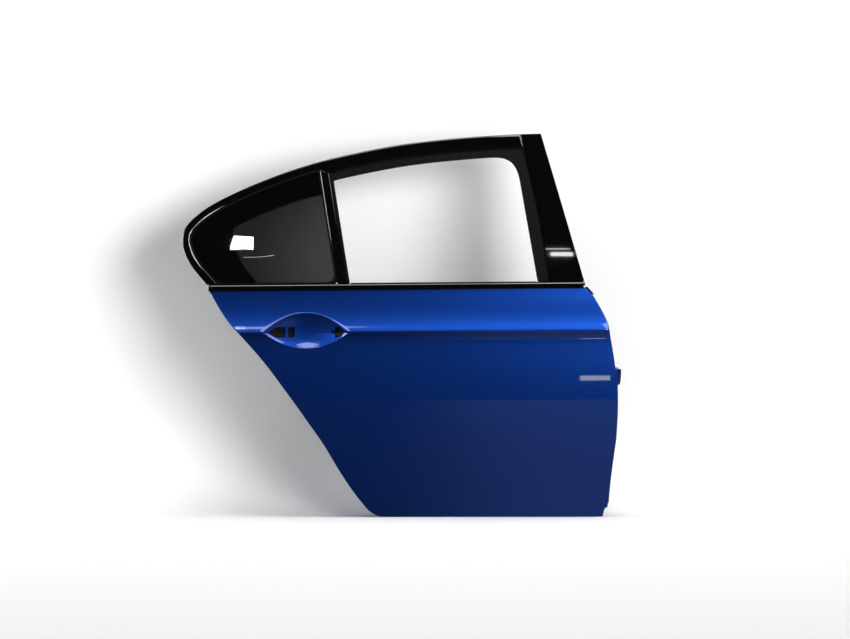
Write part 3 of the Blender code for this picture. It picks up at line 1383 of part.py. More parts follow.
hinge_levels = (BARREL_LEVEL, BARREL_LEVEL - HINGE_SPACING)
bolt_holes = []
for hinge, hinge_level in zip(("upper", "lower"), hinge_levels):
    for number, bolt_level in enumerate(bolt_levels(hinge_level), 1):
        start = on_hinge(hinge_plate_x() - OVERRUN, BOLT_Y - BARREL_RADIUS, bolt_level)
        end = on_hinge(hinge_plate_x() + OVERRUN, BOLT_Y - BARREL_RADIUS, bolt_level)
        bolt_holes.append(round_cutter(f"bolt_hole_{hinge}_{number}", BOLT_HOLE_RADIUS, start, end))
        hinge_bolt(f"{hinge}_hinge_bolt_{number}", bolt_level)
    hinge_pin(f"{hinge}_hinge_pin", hinge_level)
    hinge_leaf(f"{hinge}_hinge_leaf", hinge_level, NOSE_REACH if hinge == "upper" else BARREL_RADIUS)
hinge_reinforcement(hinge_levels)

latch_depth = 2 * OVERRUN + WALL_INSET - LEDGE_INSET
latch_cutter = latch_box("latch_cutter", LEDGE_INSET - OVERRUN, latch_depth, LATCH_HEIGHT,
                         LATCH_Y - LATCH_OPENING / 2, LATCH_Y + LATCH_OPENING / 2, steel)
outer_skin()
top_level = BELT + BELT_LIP - 2 * GAP
top_loop = [(-REACH, top_level), (OVERRUN, top_level), (OVERRUN, ROOF), (-REACH, ROOF)]
top_cutter = make("top_cutter", loft([[Vector((x, y, waist(x, z))) for x, z in top_loop]
                                      for y in (-CREASE_OUT, FACE_Y + OVERRUN)]), steel)
panel = inner_panel()
cut(panel, *bolt_holes, latch_cutter, top_cutter)
latch_reinforcement()
window_frame()
frame_seal()
roof_moulding()
pillar_cover()
division_post()
division_cover()
glass_run()
quarter_glass()
quarter_glass_gasket()
belt_moulding()
belt_wiper_lip()
belt_reinforcement_outer()
belt_reinforcement_inner()
front_edge_plug()
intrusion_beam()
beam_bracket("front_beam_bracket", -BEAM_FRONT_BACK, front_x, 1)
beam_bracket("rear_beam_bracket", beam_end(), rear_x, -1)
handle_carrier()
for plug_name, plug_place in zip(("front_access_plug", "rear_access_plug"), panel_places()):
    access_plug(plug_name, plug_place)
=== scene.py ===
# Looks of the car door shell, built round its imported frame. Metres.
# +X is the car's front, +Y inboard and +Z up, with the origin on the hinge line.
import json
import math

import bmesh
import bpy
import numpy as np
from mathutils import Matrix, Vector
from mathutils.bvhtree import BVHTree


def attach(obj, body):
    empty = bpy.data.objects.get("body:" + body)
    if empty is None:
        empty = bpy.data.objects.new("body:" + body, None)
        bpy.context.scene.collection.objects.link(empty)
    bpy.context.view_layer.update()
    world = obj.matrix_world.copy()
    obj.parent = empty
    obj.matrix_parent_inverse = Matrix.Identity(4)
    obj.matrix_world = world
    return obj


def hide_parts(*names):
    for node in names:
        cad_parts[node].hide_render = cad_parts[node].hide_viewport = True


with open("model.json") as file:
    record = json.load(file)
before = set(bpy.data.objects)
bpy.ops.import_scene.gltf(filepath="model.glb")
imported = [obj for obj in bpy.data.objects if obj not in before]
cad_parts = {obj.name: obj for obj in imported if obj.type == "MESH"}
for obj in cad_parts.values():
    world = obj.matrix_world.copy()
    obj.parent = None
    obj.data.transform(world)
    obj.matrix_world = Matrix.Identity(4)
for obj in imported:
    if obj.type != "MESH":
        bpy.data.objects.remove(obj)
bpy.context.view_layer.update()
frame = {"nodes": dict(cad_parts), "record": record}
scene = bpy.context.scene
print("frame loaded")

# Shader nodes


class Graph:
    # The node tree of one material or of the world

    def __init__(self, tree):
        self.tree = tree
        tree.nodes.clear()

    def node(self, kind, output=0, settings=None, **inputs):
        # Sets a node's settings, then its inputs: i0 is the first, and others go by their names
        made = self.tree.nodes.new(kind)
        for name, value in (settings or {}).items():
            setattr(made, name, value)
        for name, value in inputs.items():
            numbered = name[0] == "i" and name[1:].isdigit()
            self.join(value, made.inputs[int(name[1:]) if numbered else name.replace("_", " ")])
        return Socket(self, made.outputs[output]) if made.outputs else None

    def join(self, value, socket):
        if isinstance(value, Socket):
            self.tree.links.new(value.output, socket)
        else:
            socket.default_value = value


class Socket:
    # An output that takes part in sums

    def __init__(self, graph, output):
        self.graph = graph
        self.output = output

    def of(self, name):
        # Another output of the same node
        return Socket(self.graph, self.output.node.outputs[name])

    def feed(self, name, value):
        # Gives a value to an input of the same node
        self.graph.join(value, self.output.node.inputs[name])

    def math(self, operation, first, second):
        return self.graph.node("ShaderNodeMath", settings={"operation": operation}, i0=first, i1=second)

    def __add__(self, other):
        return self.math("ADD", self, other)

    def __radd__(self, other):
        return self.math("ADD", other, self)

    def __sub__(self, other):
        return self.math("SUBTRACT", self, other)

    def __rsub__(self, other):
        return self.math("SUBTRACT", other, self)

    def __mul__(self, other):
        return self.math("MULTIPLY", self, other)

    def __rmul__(self, other):
        return self.math("MULTIPLY", other, self)

    def step(self, low, high):
        # 0 below low, 1 above high, smooth between them
        settings = {"interpolation_type": "SMOOTHSTEP"}
        return self.graph.node("ShaderNodeMapRange", 0, settings, Value=self, From_Min=low, From_Max=high)

    def mix(self, low, high):
        # The first colour where this is 0 and the second where it is 1: the node's sockets 6 and 7
        return self.graph.node("ShaderNodeMix", 2, {"data_type": "RGBA"}, i0=self, i6=low, i7=high)


def colour(rgb):
    return (*rgb, 1.0)


def objectSpot(graph):
    return graph.node("ShaderNodeTexCoord", "Object")


def material(name, look, build=None):
    # A surface with a look's colour, roughness and shine, which build varies over the surface
    made = bpy.data.materials.new(name)
    made.use_nodes = True
    graph = Graph(made.node_tree)
    shader = graph.node("ShaderNodeBsdfPrincipled", Base_Color=colour(look["base"]),
                        Roughness=look["roughness"], **look.get("shine", {}))
    graph.node("ShaderNodeOutputMaterial", Surface=shader)
    if build:
        build(graph, shader, look)
    return made


def bump(graph, shader, height, strength, depth):
    shader.feed("Normal", graph.node("ShaderNodeBump", Height=height, Strength=strength, Distance=depth))


# Materials

paint = {
    "base": (0.0040, 0.042, 0.29), "flake": (0.0052, 0.055, 0.36), "roughness": 0.42,
    "shine": {"Metallic": 0.95, "Coat_Weight": 1.0, "Coat_Roughness": 0.03, "Coat_IOR": 1.5},
    "flakeScale": 2600.0, "flakeTilt": 0.10, "flakeDepth": 0.0002,
}


def buildPaint(graph, shader, look):
    # Metal flakes under a clear coat, each a little paler and turned a little
    cells = graph.node("ShaderNodeTexVoronoi", "Color", Vector=objectSpot(graph), Scale=look["flakeScale"])
    sparkle = graph.node("ShaderNodeSeparateColor", Color=cells)
    shader.feed("Base Color", sparkle.mix(colour(look["base"]), colour(look["flake"])))
    bump(graph, shader, sparkle, look["flakeTilt"], look["flakeDepth"])


# The pale colour of the glass, and where it spreads, are a painted sheen on its clear zone
pane = {
    "base": (0.012, 0.012, 0.012), "pale": (0.045, 0.043, 0.041), "frit": (0.0008, 0.0010, 0.0010),
    "roughness": 0.02, "shine": {"Coat_Weight": 0.6, "Coat_Roughness": 0.01},
    "corner": (-0.7745, 0.505), "slope": 0.2234, "bend": -0.685, "tip": (-1.0086, 0.4024), "tipBend": 3.73,
    "soft": 0.006, "lean": 0.6, "paleFrom": 0.05, "paleTo": 0.42,
}


def buildGlass(graph, shader, look):
    # A black printed border, curved round the clear zone, which has a painted sheen, paler away from the
    # window's tip
    x = graph.node("ShaderNodeSeparateXYZ", "X", Vector=objectSpot(graph))
    z = x.of("Z")
    across = x - look["corner"][0]
    below = across * across * look["bend"] + across * look["slope"] + look["corner"][1] - z
    lift = z - look["tip"][1]
    inside = x - look["tip"][0] - lift * lift * look["tipBend"]
    clear = below.step(0.0, look["soft"]) * inside.step(0.0, look["soft"])
    # Painted sheen: the clear zone's colour turns paler away from the window's tip
    away = (inside + below * look["lean"]).step(look["paleFrom"], look["paleTo"])
    glassWithSheen = away.mix(colour(look["base"]), colour(look["pale"]))
    shader.feed("Base Color", clear.mix(colour(look["frit"]), glassWithSheen))


rubber = {
    "base": (0.0022, 0.0022, 0.0024), "roughness": 0.55, "shine": {"Specular_IOR_Level": 0.08},
    "scale": 900.0, "detail": 2.0, "smoothest": 0.55, "spread": 0.2, "strength": 0.25, "depth": 0.0002,
}
blackPlastic = {
    "base": (0.003, 0.003, 0.003), "roughness": 0.5, "shine": {"Specular_IOR_Level": 0.1},
    "scale": 1400.0, "detail": 4.0, "smoothest": 0.4, "spread": 0.25, "strength": 0.35, "depth": 0.0003,
}
primedSteel = {
    "base": (0.19, 0.20, 0.21), "roughness": 0.48, "shine": {"Metallic": 0.35},
    "scale": 60.0, "detail": 4.0, "smoothest": 0.38, "spread": 0.2,
}
steel = {
    "base": (0.46, 0.46, 0.48), "roughness": 0.3, "shine": {"Metallic": 1.0},
    "scale": 60.0, "detail": 4.0, "smoothest": 0.38, "spread": 0.2,
}


def buildGrain(graph, shader, look):
    # An uneven roughness and, where the look has a depth, an uneven surface
    grain = graph.node("ShaderNodeTexNoise", "Fac", Vector=objectSpot(graph), Scale=look["scale"],
                       Detail=look["detail"])
    shader.feed("Roughness", grain * look["spread"] + look["smoothest"])
    if "depth" in look:
        bump(graph, shader, grain, look["strength"], look["depth"])
    return grain


zinc = {
    "base": (0.56, 0.53, 0.42), "roughness": 0.35, "shine": {"Metallic": 1.0},
    "yellow": (0.50, 0.46, 0.33), "grey": (0.62, 0.60, 0.52), "greyFrom": 0.3, "greyTo": 0.7,
    "scale": 260.0, "detail": 3.0, "smoothest": 0.28, "spread": 0.25,
}


def buildZinc(graph, shader, look):
    # Yellow and grey clouds, as on plated bolts
    clouds = buildGrain(graph, shader, look).step(look["greyFrom"], look["greyTo"])
    shader.feed("Base Color", clouds.mix(colour(look["yellow"]), colour(look["grey"])))


glossBlack = {
    "base": (0.0012, 0.0012, 0.0014), "roughness": 0.05,
    "shine": {"Coat_Weight": 0.6, "Coat_Roughness": 0.02},
}
blackPaint = {"base": (0.006, 0.006, 0.007), "roughness": 0.34}

finishes = {
    "blue_paint": material("bluePaint", paint, buildPaint),
    "gloss_black": material("glossBlack", glossBlack),
    "black_paint": material("blackPaint", blackPaint),
    "rubber": material("rubber", rubber, buildGrain),
    "black_plastic": material("blackPlastic", blackPlastic, buildGrain),
    "dark_glass": material("darkGlass", pane, buildGlass),
    "primed_steel": material("primedSteel", primedSteel, buildGrain),
    "steel": material("steel", steel, buildGrain),
    "zinc": material("zinc", zinc, buildZinc),
}
slots = {entry["node"]: entry["material_slot"] for entry in frame["record"]["subparts"]}
print("materials made")

# Pieces

# Angles are in degrees, apart from sharp and flat, which are in radians
making = {
    "weld": 0.000002, "sharp": 0.6, "flat": 0.5, "coplanar": 0.5, "levels": 2, "sweptSegments": 1,
    "copiedSegments": 2, "smoothCopied": 32.0, "smoothSwept": 60.0, "smoothSkin": 38.0,
}
# How much the sharp edges are rounded: of the pieces with long curves, then of the others
swept = {
    "roof_moulding": 0.0009, "division_cover": 0.0007, "belt_moulding": 0.0006, "glass_run": 0.0006,
    "frame_seal": 0.0005, "quarter_glass_gasket": 0.0004, "window_frame": 0.0003, "division_post": 0.0003,
    "belt_wiper_lip": 0.0004,
}
edges = {
    "pillar_cover": 0.0008, "front_edge_plug": 0.0008, "upper_hinge_leaf": 0.0028, "lower_hinge_leaf": 0.0028,
    "belt_reinforcement_outer": 0.0003, "belt_reinforcement_inner": 0.0003, "front_beam_bracket": 0.0004,
    "rear_beam_bracket": 0.0004, "hinge_reinforcement": 0.0003, "latch_reinforcement": 0.0003,
}


def meshed(name, built):
    # An object at the origin from a bmesh
    mesh = bpy.data.meshes.new(name)
    built.to_mesh(mesh)
    built.free()
    piece = bpy.data.objects.new(name, mesh)
    scene.collection.objects.link(piece)
    return piece


def dressed(piece, slotName):
    piece.data.materials.append(finishes[slotName])
    piece.data.shade_smooth()
    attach(piece, "root")


def finished(name, built, node, smoothAngle):
    # A piece that stands for a CAD node
    piece = meshed(name, built)
    dressed(piece, slots[node])
    piece.data.set_sharp_from_angle(angle=math.radians(smoothAngle))
    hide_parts(node)
    return piece


def merged(node):
    # A copy of a CAD node's mesh, with its loose triangles joined up
    built = bmesh.new()
    built.from_mesh(frame["nodes"][node].data)
    bmesh.ops.remove_doubles(built, verts=built.verts[:], dist=making["weld"])
    return built


def rounded(built, offset, segments):
    pairs = [line for line in built.edges if len(line.link_faces) == 2]
    sharp = [line for line in pairs if line.calc_face_angle(0) > making["sharp"]]
    bmesh.ops.bevel(built, geom=sharp, offset=offset, segments=segments, profile=0.5, affect="EDGES",
                    material=-1, clamp_overlap=True)


def makeSwept(node):
    # A CAD node's own shape, with its sharp edges rounded and its long curves made smooth
    built = merged(node)
    bmesh.ops.join_triangles(built, faces=built.faces[:], angle_face_threshold=making["flat"],
                             angle_shape_threshold=math.pi)
    rounded(built, swept[node], making["sweptSegments"])
    piece = finished(node + "Look", built, node, making["smoothSwept"])
    soft = piece.modifiers.new("smooth", "SUBSURF")
    soft.levels = making["levels"]
    soft.render_levels = making["levels"]


def makeCopied(node):
    # A CAD node's own shape, with its sharp edges rounded
    built = merged(node)
    bmesh.ops.dissolve_limit(built, angle_limit=math.radians(making["coplanar"]), verts=built.verts[:],
                             edges=built.edges[:])
    if node in edges:
        rounded(built, edges[node], making["copiedSegments"])
    piece = finished(node + "Look", built, node, making["smoothCopied"])
    even = piece.modifiers.new("even", "WEIGHTED_NORMAL")
    even.keep_sharp = True


for node in sorted(slots):
    if node in swept:
        makeSwept(node)
    elif node != "outer_skin":
        makeCopied(node)
print("pieces made")

# Outer skin

# Tables run from the waist down: shares of the height, then shares of the size that they follow
skin = {
    "reach": 1.143, "nose": 0.010, "noseSweep": 0.080, "belt": 0.2555, "crease": 0.146, "sill": 0.347,
    "beltOut": 0.015, "creaseOut": 0.055, "flankTuck": 0.027, "planBow": 0.012, "bowMiddle": 0.42,
    "bowHalf": 0.50, "rise": 0.0084, "gauge": 0.0008, "corner": 0.029,
    "hemFold": 0.0046, "hemWidth": 0.009, "hemSteps": 6,
    "lip": 0.006, "lipRollShare": 0.25, "lipShares": ((0.3, 0.6), (0.0, 1.4), (-1.0, 2.0)), "lipDrop": 0.012,
    "notchWidth": 0.0136, "notchHeight": 0.025, "notchShare": 0.84, "notchLean": 0.37,
    "shoulder": ((0, 0), (0.2, 0.09), (0.4, 0.23), (0.6, 0.43), (0.8, 0.69), (0.92, 0.876), (1, 1)),
    "flank": ((0, 0), (0.008, 0.04), (0.016, 0.13), (0.028, 0.23), (0.045, 0.268), (0.061, 0.270),
              (0.122, 0.222), (0.156, 0.190), (0.223, 0.133), (0.349, 0.096), (0.467, 0.133), (0.609, 0.26),
              (0.75, 0.463), (0.872, 0.70), (1, 1)),
    "rear": ((0, 0.936), (0.0618, 0.919), (0.141, 0.892), (0.219, 0.855), (0.324, 0.8065), (0.455, 0.7545),
             (0.586, 0.705), (0.690, 0.667), (0.795, 0.634), (0.90, 0.597), (0.952, 0.575), (1, 0.556)),
    "front": ((0, 1.03), (0.0356, 0.80), (0.088, 0.57), (0.140, 0.373), (0.1665, 0.306), (0.219, 0.24),
              (0.2975, 0.141), (0.376, 0.059), (0.428, 0.010), (0.50, 0.0), (0.638, 0.043), (0.743, 0.141),
              (0.848, 0.240), (0.952, 0.306), (1, 0.33)),
}
# How the crease is softened: least just below it, more farther away
softening = {"overrun": 0.012, "step": 0.0005, "least": 0.0013, "most": 0.012, "below": 0.004, "near": 0.010,
             "growth": 0.16, "endWidths": 3}
# The skin's grid: finest at the crease and the foot, and fine in the recess
grid = {
    "rearColumns": 195, "frontColumns": 55, "columnBreak": -0.68, "rearBand": 0.12, "edgeTries": 8,
    "widest": 0.0085, "finest": 0.0007, "below": 0.003, "creaseGrowth": 0.12, "footGrowth": 0.14,
    "recessMiddle": 0.112, "recessHalf": 0.066, "recessStep": 0.0013,
}
recess = {
    "middle": -0.8115, "level": 0.137, "half": 0.1148, "up": 0.052, "down": 0.041, "depth": 0.0125,
    "rimRound": 0.018, "bowl": 2.0, "fade": 0.15, "bead": 0.0008, "beadWidth": 0.040, "farthest": 1.6,
}
openings = {
    "up": 0.015, "down": 0.012, "tailUp": 0.4, "tailDown": 0.2, "corner": 0.0016, "segments": 3,
    "cutFrom": -0.075, "cutTo": 0.0,
}
# Where their corners lie along X, from the middle of the recess
openingPlaces = {
    "arrowTip": -0.1000, "arrowNeck": -0.0800, "arrowEnd": -0.0545, "windowRear": -0.0475,
    "windowFront": -0.0305, "dartTail": 0.0680, "dartStep": 0.0765, "dartNeck": 0.0900, "dartTip": 0.1019,
}
shoulderHeight = skin["belt"] - skin["crease"]
sideHeight = skin["belt"] + skin["sill"]


def curved(table, t):
    # Reads a table with a monotone cubic, straight on beyond its ends
    last = len(table) - 1
    slopes = [(b[1] - a[1]) / (b[0] - a[0]) for a, b in zip(table, table[1:])]
    turns = [slopes[0]]
    for a, b in zip(slopes, slopes[1:]):
        turns.append(2 * a * b / (a + b) if a * b > 0 else 0.0)
    turns.append(slopes[-1])
    if t <= table[0][0]:
        return table[0][1] + turns[0] * (t - table[0][0])
    if t >= table[last][0]:
        return table[last][1] + turns[-1] * (t - table[last][0])
    i = max(k for k in range(last) if table[k][0] <= t)
    width = table[i + 1][0] - table[i][0]
    u = (t - table[i][0]) / width
    start = table[i][1] * (1 + 2 * u) * (1 - u) ** 2 + turns[i] * width * u * (1 - u) ** 2
    return start + table[i + 1][1] * (3 - 2 * u) * u ** 2 + turns[i + 1] * width * u ** 2 * (u - 1)


def sectionTable():
    # How far outboard the skin stands at each way down from the waist, with the crease softened
    spots = np.arange(-softening["overrun"], sideHeight + softening["overrun"], softening["step"])
    out = []
    for down in spots:
        if down <= shoulderHeight:
            share = curved(skin["shoulder"], down / shoulderHeight)
            out.append(skin["beltOut"] + (skin["creaseOut"] - skin["beltOut"]) * share)
        else:
            share = curved(skin["flank"], (down - shoulderHeight) / (sideHeight - shoulderHeight))
            out.append(skin["creaseOut"] - skin["flankTuck"] * share)
    out = np.array(out)
    away = np.abs(spots - shoulderHeight - softening["below"]) - softening["near"]
    width = np.clip(softening["least"] + softening["growth"] * away, softening["least"], softening["most"])
    near = np.exp(-0.5 * ((spots[None, :] - spots[:, None]) / width[:, None]) ** 2)
    room = np.minimum(spots - spots[0], spots[-1] - spots)
    soft = (near * out[None, :]).sum(1) / near.sum(1)
    ends = np.clip(room / (softening["endWidths"] * width), 0, 1)
    return spots, soft * ends + out * (1 - ends)


sectionSpots, sectionOut = sectionTable()


def waistAt(x, level):
    return level + skin["rise"] * x


def bowAt(x):
    half = skin["reach"] * skin["bowHalf"]
    return skin["planBow"] * ((x + skin["reach"] * skin["bowMiddle"]) / half) ** 2


def heightAt(x, down):
    # Height at x of a row that lies so far below the waist
    if down <= shoulderHeight:
        return waistAt(x, skin["belt"]) - down
    crease = waistAt(x, skin["crease"])
    return crease - (crease + skin["sill"]) * (down - shoulderHeight) / (sideHeight - shoulderHeight)


def downAt(x, z):
    crease = waistAt(x, skin["crease"])
    if z >= crease:
        return waistAt(x, skin["belt"]) - z
    return shoulderHeight + (crease - z) / (crease + skin["sill"]) * (sideHeight - shoulderHeight)


def skinAt(x, z):
    return bowAt(x) - float(np.interp(downAt(x, z), sectionSpots, sectionOut))


def rearAt(z):
    return -skin["reach"] * curved(skin["rear"], (skin["belt"] - z) / sideHeight)


def frontAt(z):
    return skin["nose"] - skin["noseSweep"] * curved(skin["front"], (skin["belt"] - z) / sideHeight)


def dishAt(x, z):
    # Depth of the lens-shaped recess, with its rim rounded and a fine bead along the rim
    across = (x - recess["middle"]) / recess["half"]
    above = z - recess["level"]
    height = recess["up"] if above > 0 else recess["down"]
    share = (abs(above) + math.sqrt(above ** 2 + 4 * height ** 2 * across ** 2)) / (2 * height)
    if share > recess["farthest"]:
        return 0.0
    left = 1 - share ** recess["bowl"]
    bead = recess["bead"] * math.exp(-((share - 1) / recess["beadWidth"]) ** 2)
    return recess["depth"] * (left + math.sqrt(left ** 2 + recess["rimRound"] ** 2)) / 2 - bead


def pressedAt(x, z):
    # The skin with its recess, inside which the crease fades out
    pressed = skinAt(x, z)
    across = (x - recess["middle"]) / recess["half"]
    above = z - recess["level"]
    height = recess["up"] if above > 0 else recess["down"]
    room = 1 - across ** 2 - abs(above) / height
    if room > 0:
        top = recess["level"] + recess["up"] * (1 - across ** 2)
        low = recess["level"] - recess["down"] * (1 - across ** 2)
        share = (z - low) / (top - low)
        bridge = skinAt(x, low) * (1 - share) + skinAt(x, top) * share
        pressed += (bridge - pressed) * min(1.0, room / recess["fade"]) ** 2
    return pressed + dishAt(x, z)


def rearInset(z, inset):
    # Rear edge, less an inset, with the lower corner rounded
    low = -skin["sill"]
    if z >= low + skin["corner"]:
        return rearAt(z) + inset
    share = math.sqrt(max(0.0, (z - low - inset) / (skin["corner"] - inset)))
    start = rearAt(low + skin["corner"])
    control = 2 * rearAt(low + skin["corner"] / 2) - start
    end = control + skin["corner"]
    return start * share ** 2 + control * 2 * share * (1 - share) + end * (1 - share) ** 2 + inset * share


def frontInset(z, inset):
    # Front edge, less an inset, with the notch at its foot
    low = -skin["sill"]
    edge = frontAt(z) - inset
    notch = frontAt(low) - skin["notchWidth"]
    lean = skin["notchWidth"] * skin["notchLean"]
    lift = skin["notchHeight"] * skin["notchShare"]
    if z < low + lift:
        return notch + lean * (z - low) / lift
    share = min(1.0, (z - low - lift) / (skin["notchHeight"] - lift))
    return (notch + lean) * (1 - share) + edge * share


def skinRows(inset):
    # Ways down from the waist, one for each row of the grid
    downs = [-skin["lip"]]
    end = sideHeight - inset
    while downs[-1] < end:
        down = downs[-1]
        away = abs(down - shoulderHeight - grid["below"])
        step = min(grid["widest"], grid["finest"] + grid["creaseGrowth"] * away)
        if abs(down - grid["recessMiddle"]) < grid["recessHalf"]:
            step = min(step, grid["recessStep"])
        step = min(step, grid["finest"] + grid["footGrowth"] * (end - down))
        downs.append(min(down + step, end))
    return downs


def edgeSpot(edge, down):
    # Where a row meets an edge, found by closing in on it
    x = edge(skin["crease"])
    for _ in range(grid["edgeTries"]):
        x = edge(heightAt(x, down))
    return x


def extruded(built, lines):
    # The new vertices of a row of edges, once it is extruded
    made = bmesh.ops.extrude_edge_only(built, edges=lines)["geom"]
    return [vert for vert in made if isinstance(vert, bmesh.types.BMVert)]


def rolled(built, run, steps):
    # Folds a run of vertices outwards and back; steps give the ways outwards and inboard
    spots = [vert.co.copy() for vert in run]
    ways = []
    for k in range(len(spots)):
        along = spots[min(k + 1, len(spots) - 1)] - spots[max(k - 1, 0)]
        ways.append(Vector((along.z, 0, -along.x)).normalized())
    for outward, inboard in steps:
        fresh = set(extruded(built, [built.edges.get(pair) for pair in zip(run, run[1:])]))
        after = []
        for vert, spot, way in zip(run, spots, ways):
            twin = next(line.other_vert(vert) for line in vert.link_edges if line.other_vert(vert) in fresh)
            twin.co = spot + way * outward + Vector((0, inboard, 0))
            after.append(twin)
        run = after


def prismOf(outline):
    # A cutter along Y from an outline in X and Z, with its corners rounded
    built = bmesh.new()
    thick = openings["cutTo"] - openings["cutFrom"]
    face = built.faces.new([built.verts.new((x, openings["cutFrom"], z)) for x, z in outline])
    made = bmesh.ops.extrude_face_region(built, geom=[face])["geom"]
    moved = [vert for vert in made if isinstance(vert, bmesh.types.BMVert)]
    bmesh.ops.translate(built, vec=(0, thick, 0), verts=moved)
    bmesh.ops.recalc_face_normals(built, faces=built.faces[:])
    along = [line for line in built.edges if abs(line.verts[0].co.y - line.verts[1].co.y) > thick / 2]
    bmesh.ops.bevel(built, geom=along, offset=openings["corner"], segments=openings["segments"], profile=0.5,
                    affect="EDGES", material=-1, clamp_overlap=True)
    return built


def slotCutters():
    # The handle's openings: an arrow, a window and a dart
    at = {name: recess["middle"] + place for name, place in openingPlaces.items()}
    level = recess["level"]
    top = level + openings["up"]
    low = level - openings["down"]
    tailTop = level + openings["up"] * openings["tailUp"]
    tailLow = level - openings["down"] * openings["tailDown"]
    arrow = [(at["arrowTip"], level), (at["arrowNeck"], low), (at["arrowEnd"], low), (at["arrowEnd"], top),
             (at["arrowNeck"], top)]
    window = [(at["windowRear"], low), (at["windowFront"], low), (at["windowFront"], top),
              (at["windowRear"], top)]
    dart = [(at["dartTail"], tailLow), (at["dartStep"], tailLow), (at["dartStep"], low),
            (at["dartNeck"], low), (at["dartTip"], level), (at["dartNeck"], top), (at["dartStep"], top),
            (at["dartStep"], tailTop), (at["dartTail"], tailTop)]
    return [prismOf(outline) for outline in (arrow, window, dart)]


def carved(built, cutters, gauge):
    # Gives a sheet its gauge and takes the cutters out of it
    blank = meshed("blank", built)
    wall = blank.modifiers.new("gauge", "SOLIDIFY")
    wall.thickness = gauge
    wall.offset = -1.0
    wall.use_even_offset = True
    tools = [meshed("tool", cutter) for cutter in cutters]
    for tool in tools:
        knife = blank.modifiers.new("cut", "BOOLEAN")
        knife.operation = "DIFFERENCE"
        knife.solver = "EXACT"
        knife.object = tool
    result = bmesh.new()
    result.from_object(blank, bpy.context.evaluated_depsgraph_get())
    for used in (blank, *tools):
        bpy.data.objects.remove(used)
    return result


def pressedSheet(built, columns, downs, bend):
    # Bends a flat grid to the skin, and gives its vertices by column and row
    last = len(downs) - 1
    half = 0.5
    bmesh.ops.create_grid(built, x_segments=columns, y_segments=last, size=half)
    lattice = {}
    for vert in built.verts:
        lattice[round((vert.co.x + half) * columns), round((half - vert.co.y) * last)] = vert
    for row, down in enumerate(downs):
        rear = edgeSpot(lambda z: rearInset(z, bend), down)
        front = edgeSpot(lambda z: frontInset(z, bend), down)
        middle = max(grid["columnBreak"], rear + grid["rearBand"])
        for column in range(columns + 1):
            if column <= grid["rearColumns"]:
                x = rear + (middle - rear) * column / grid["rearColumns"]
            else:
                x = middle + (front - middle) * (column - grid["rearColumns"]) / grid["frontColumns"]
            z = heightAt(x, down)
            lattice[column, row].co = (x, pressedAt(x, z), z)
    return lattice


def outerSkin():
    # The pressed sheet with its hem folded back, its top rolled in and the handle's openings cut out
    bend = skin["hemFold"] / 2
    downs = skinRows(bend)
    columns = grid["rearColumns"] + grid["frontColumns"]
    built = bmesh.new()
    lattice = pressedSheet(built, columns, downs, bend)
    last = len(downs) - 1
    foot = -skin["sill"] + skin["notchHeight"] + skin["hemWidth"]
    rearRun = [lattice[0, row] for row in range(last + 1)]
    rearRun += [lattice[column, last] for column in range(1, columns + 1)]
    frontRun = [lattice[columns, row] for row in range(last, -1, -1) if lattice[columns, row].co.z > foot]
    topRun = [lattice[column, 0] for column in range(columns, -1, -1)]
    turns = [math.pi * k / skin["hemSteps"] for k in range(1, skin["hemSteps"] + 1)]
    hem = [(bend * math.sin(turn), bend - bend * math.cos(turn)) for turn in turns]
    hem.append((-skin["hemWidth"] + bend, 2 * bend))
    rolled(built, rearRun, hem)
    rolled(built, frontRun, hem)
    roll = skin["lip"] * skin["lipRollShare"]
    lip = [(outward * roll, inboard * roll) for outward, inboard in skin["lipShares"]]
    lip.append((-skin["lipDrop"], lip[-1][1]))
    rolled(built, topRun, lip)
    finished("outerSkin", carved(built, slotCutters(), skin["gauge"]), "outer_skin", making["smoothSkin"])


def added(name, built, slotName):
    # A piece that no CAD node has
    dressed(meshed(name, built), slotName)


pad = {"half": 0.108, "up": 0.018, "down": 0.015, "behind": 0.007, "across": 70, "rows": 14}


def foamPad():
    # The dark pad behind the handle's openings, which follows the recess
    built = bmesh.new()
    bmesh.ops.create_grid(built, x_segments=pad["across"], y_segments=pad["rows"], size=1.0)
    for vert in built.verts:
        x = recess["middle"] + vert.co.x * pad["half"]
        z = recess["level"] + vert.co.y * (pad["up"] if vert.co.y > 0 else pad["down"])
        vert.co = (x, pressedAt(x, z) + pad["behind"], z)
    added("foamPad", built, "black_plastic")


# A face belongs to a node's front where its normal's Y is below forward
lips = {
    "runLip": {"node": "glass_run", "outward": 0.010, "back": 0.003, "forward": -0.75},
    "gasketLip": {"node": "quarter_glass_gasket", "outward": 0.006, "back": 0.003, "forward": -0.75},
}


def apron(name, node, outward, back, forward):
    # A rubber lip from the outer rim of a CAD node's front, out behind the trim round it
    built = merged(node)
    away = [face for face in built.faces if face.normal.y > forward]
    bmesh.ops.delete(built, geom=away, context="FACES")
    middle = sum((vert.co for vert in built.verts), Vector()) / len(built.verts)
    outer = []
    for line in [line for line in built.edges if len(line.link_faces) == 1]:
        centre = (line.verts[0].co + line.verts[1].co) / 2
        inner = line.link_faces[0].calc_center_median()
        if (centre - middle).length > (inner - middle).length:
            outer.append(line)
    fresh = extruded(built, outer)
    moves = {}
    for vert in fresh:
        way = Vector()
        for face in vert.link_faces:
            fromMiddle = face.calc_center_median() - middle
            ends = [line.other_vert(vert) for line in face.edges if vert in line.verts]
            for end in [end for end in ends if end in fresh]:
                run = end.co - vert.co
                side = Vector((run.z, 0, -run.x)).normalized()
                way += side if side.dot(fromMiddle) > 0 else -side
        moves[vert] = way.normalized() * outward + Vector((0, back, 0)) if way.length else Vector()
    for vert, move in moves.items():
        vert.co += move
    kept = {face for vert in fresh for face in vert.link_faces}
    bmesh.ops.delete(built, geom=[face for face in built.faces if face not in kept], context="FACES")
    added(name, built, "rubber")


outerSkin()
foamPad()
for name, lip in lips.items():
    apron(name, **lip)
print("skin made")

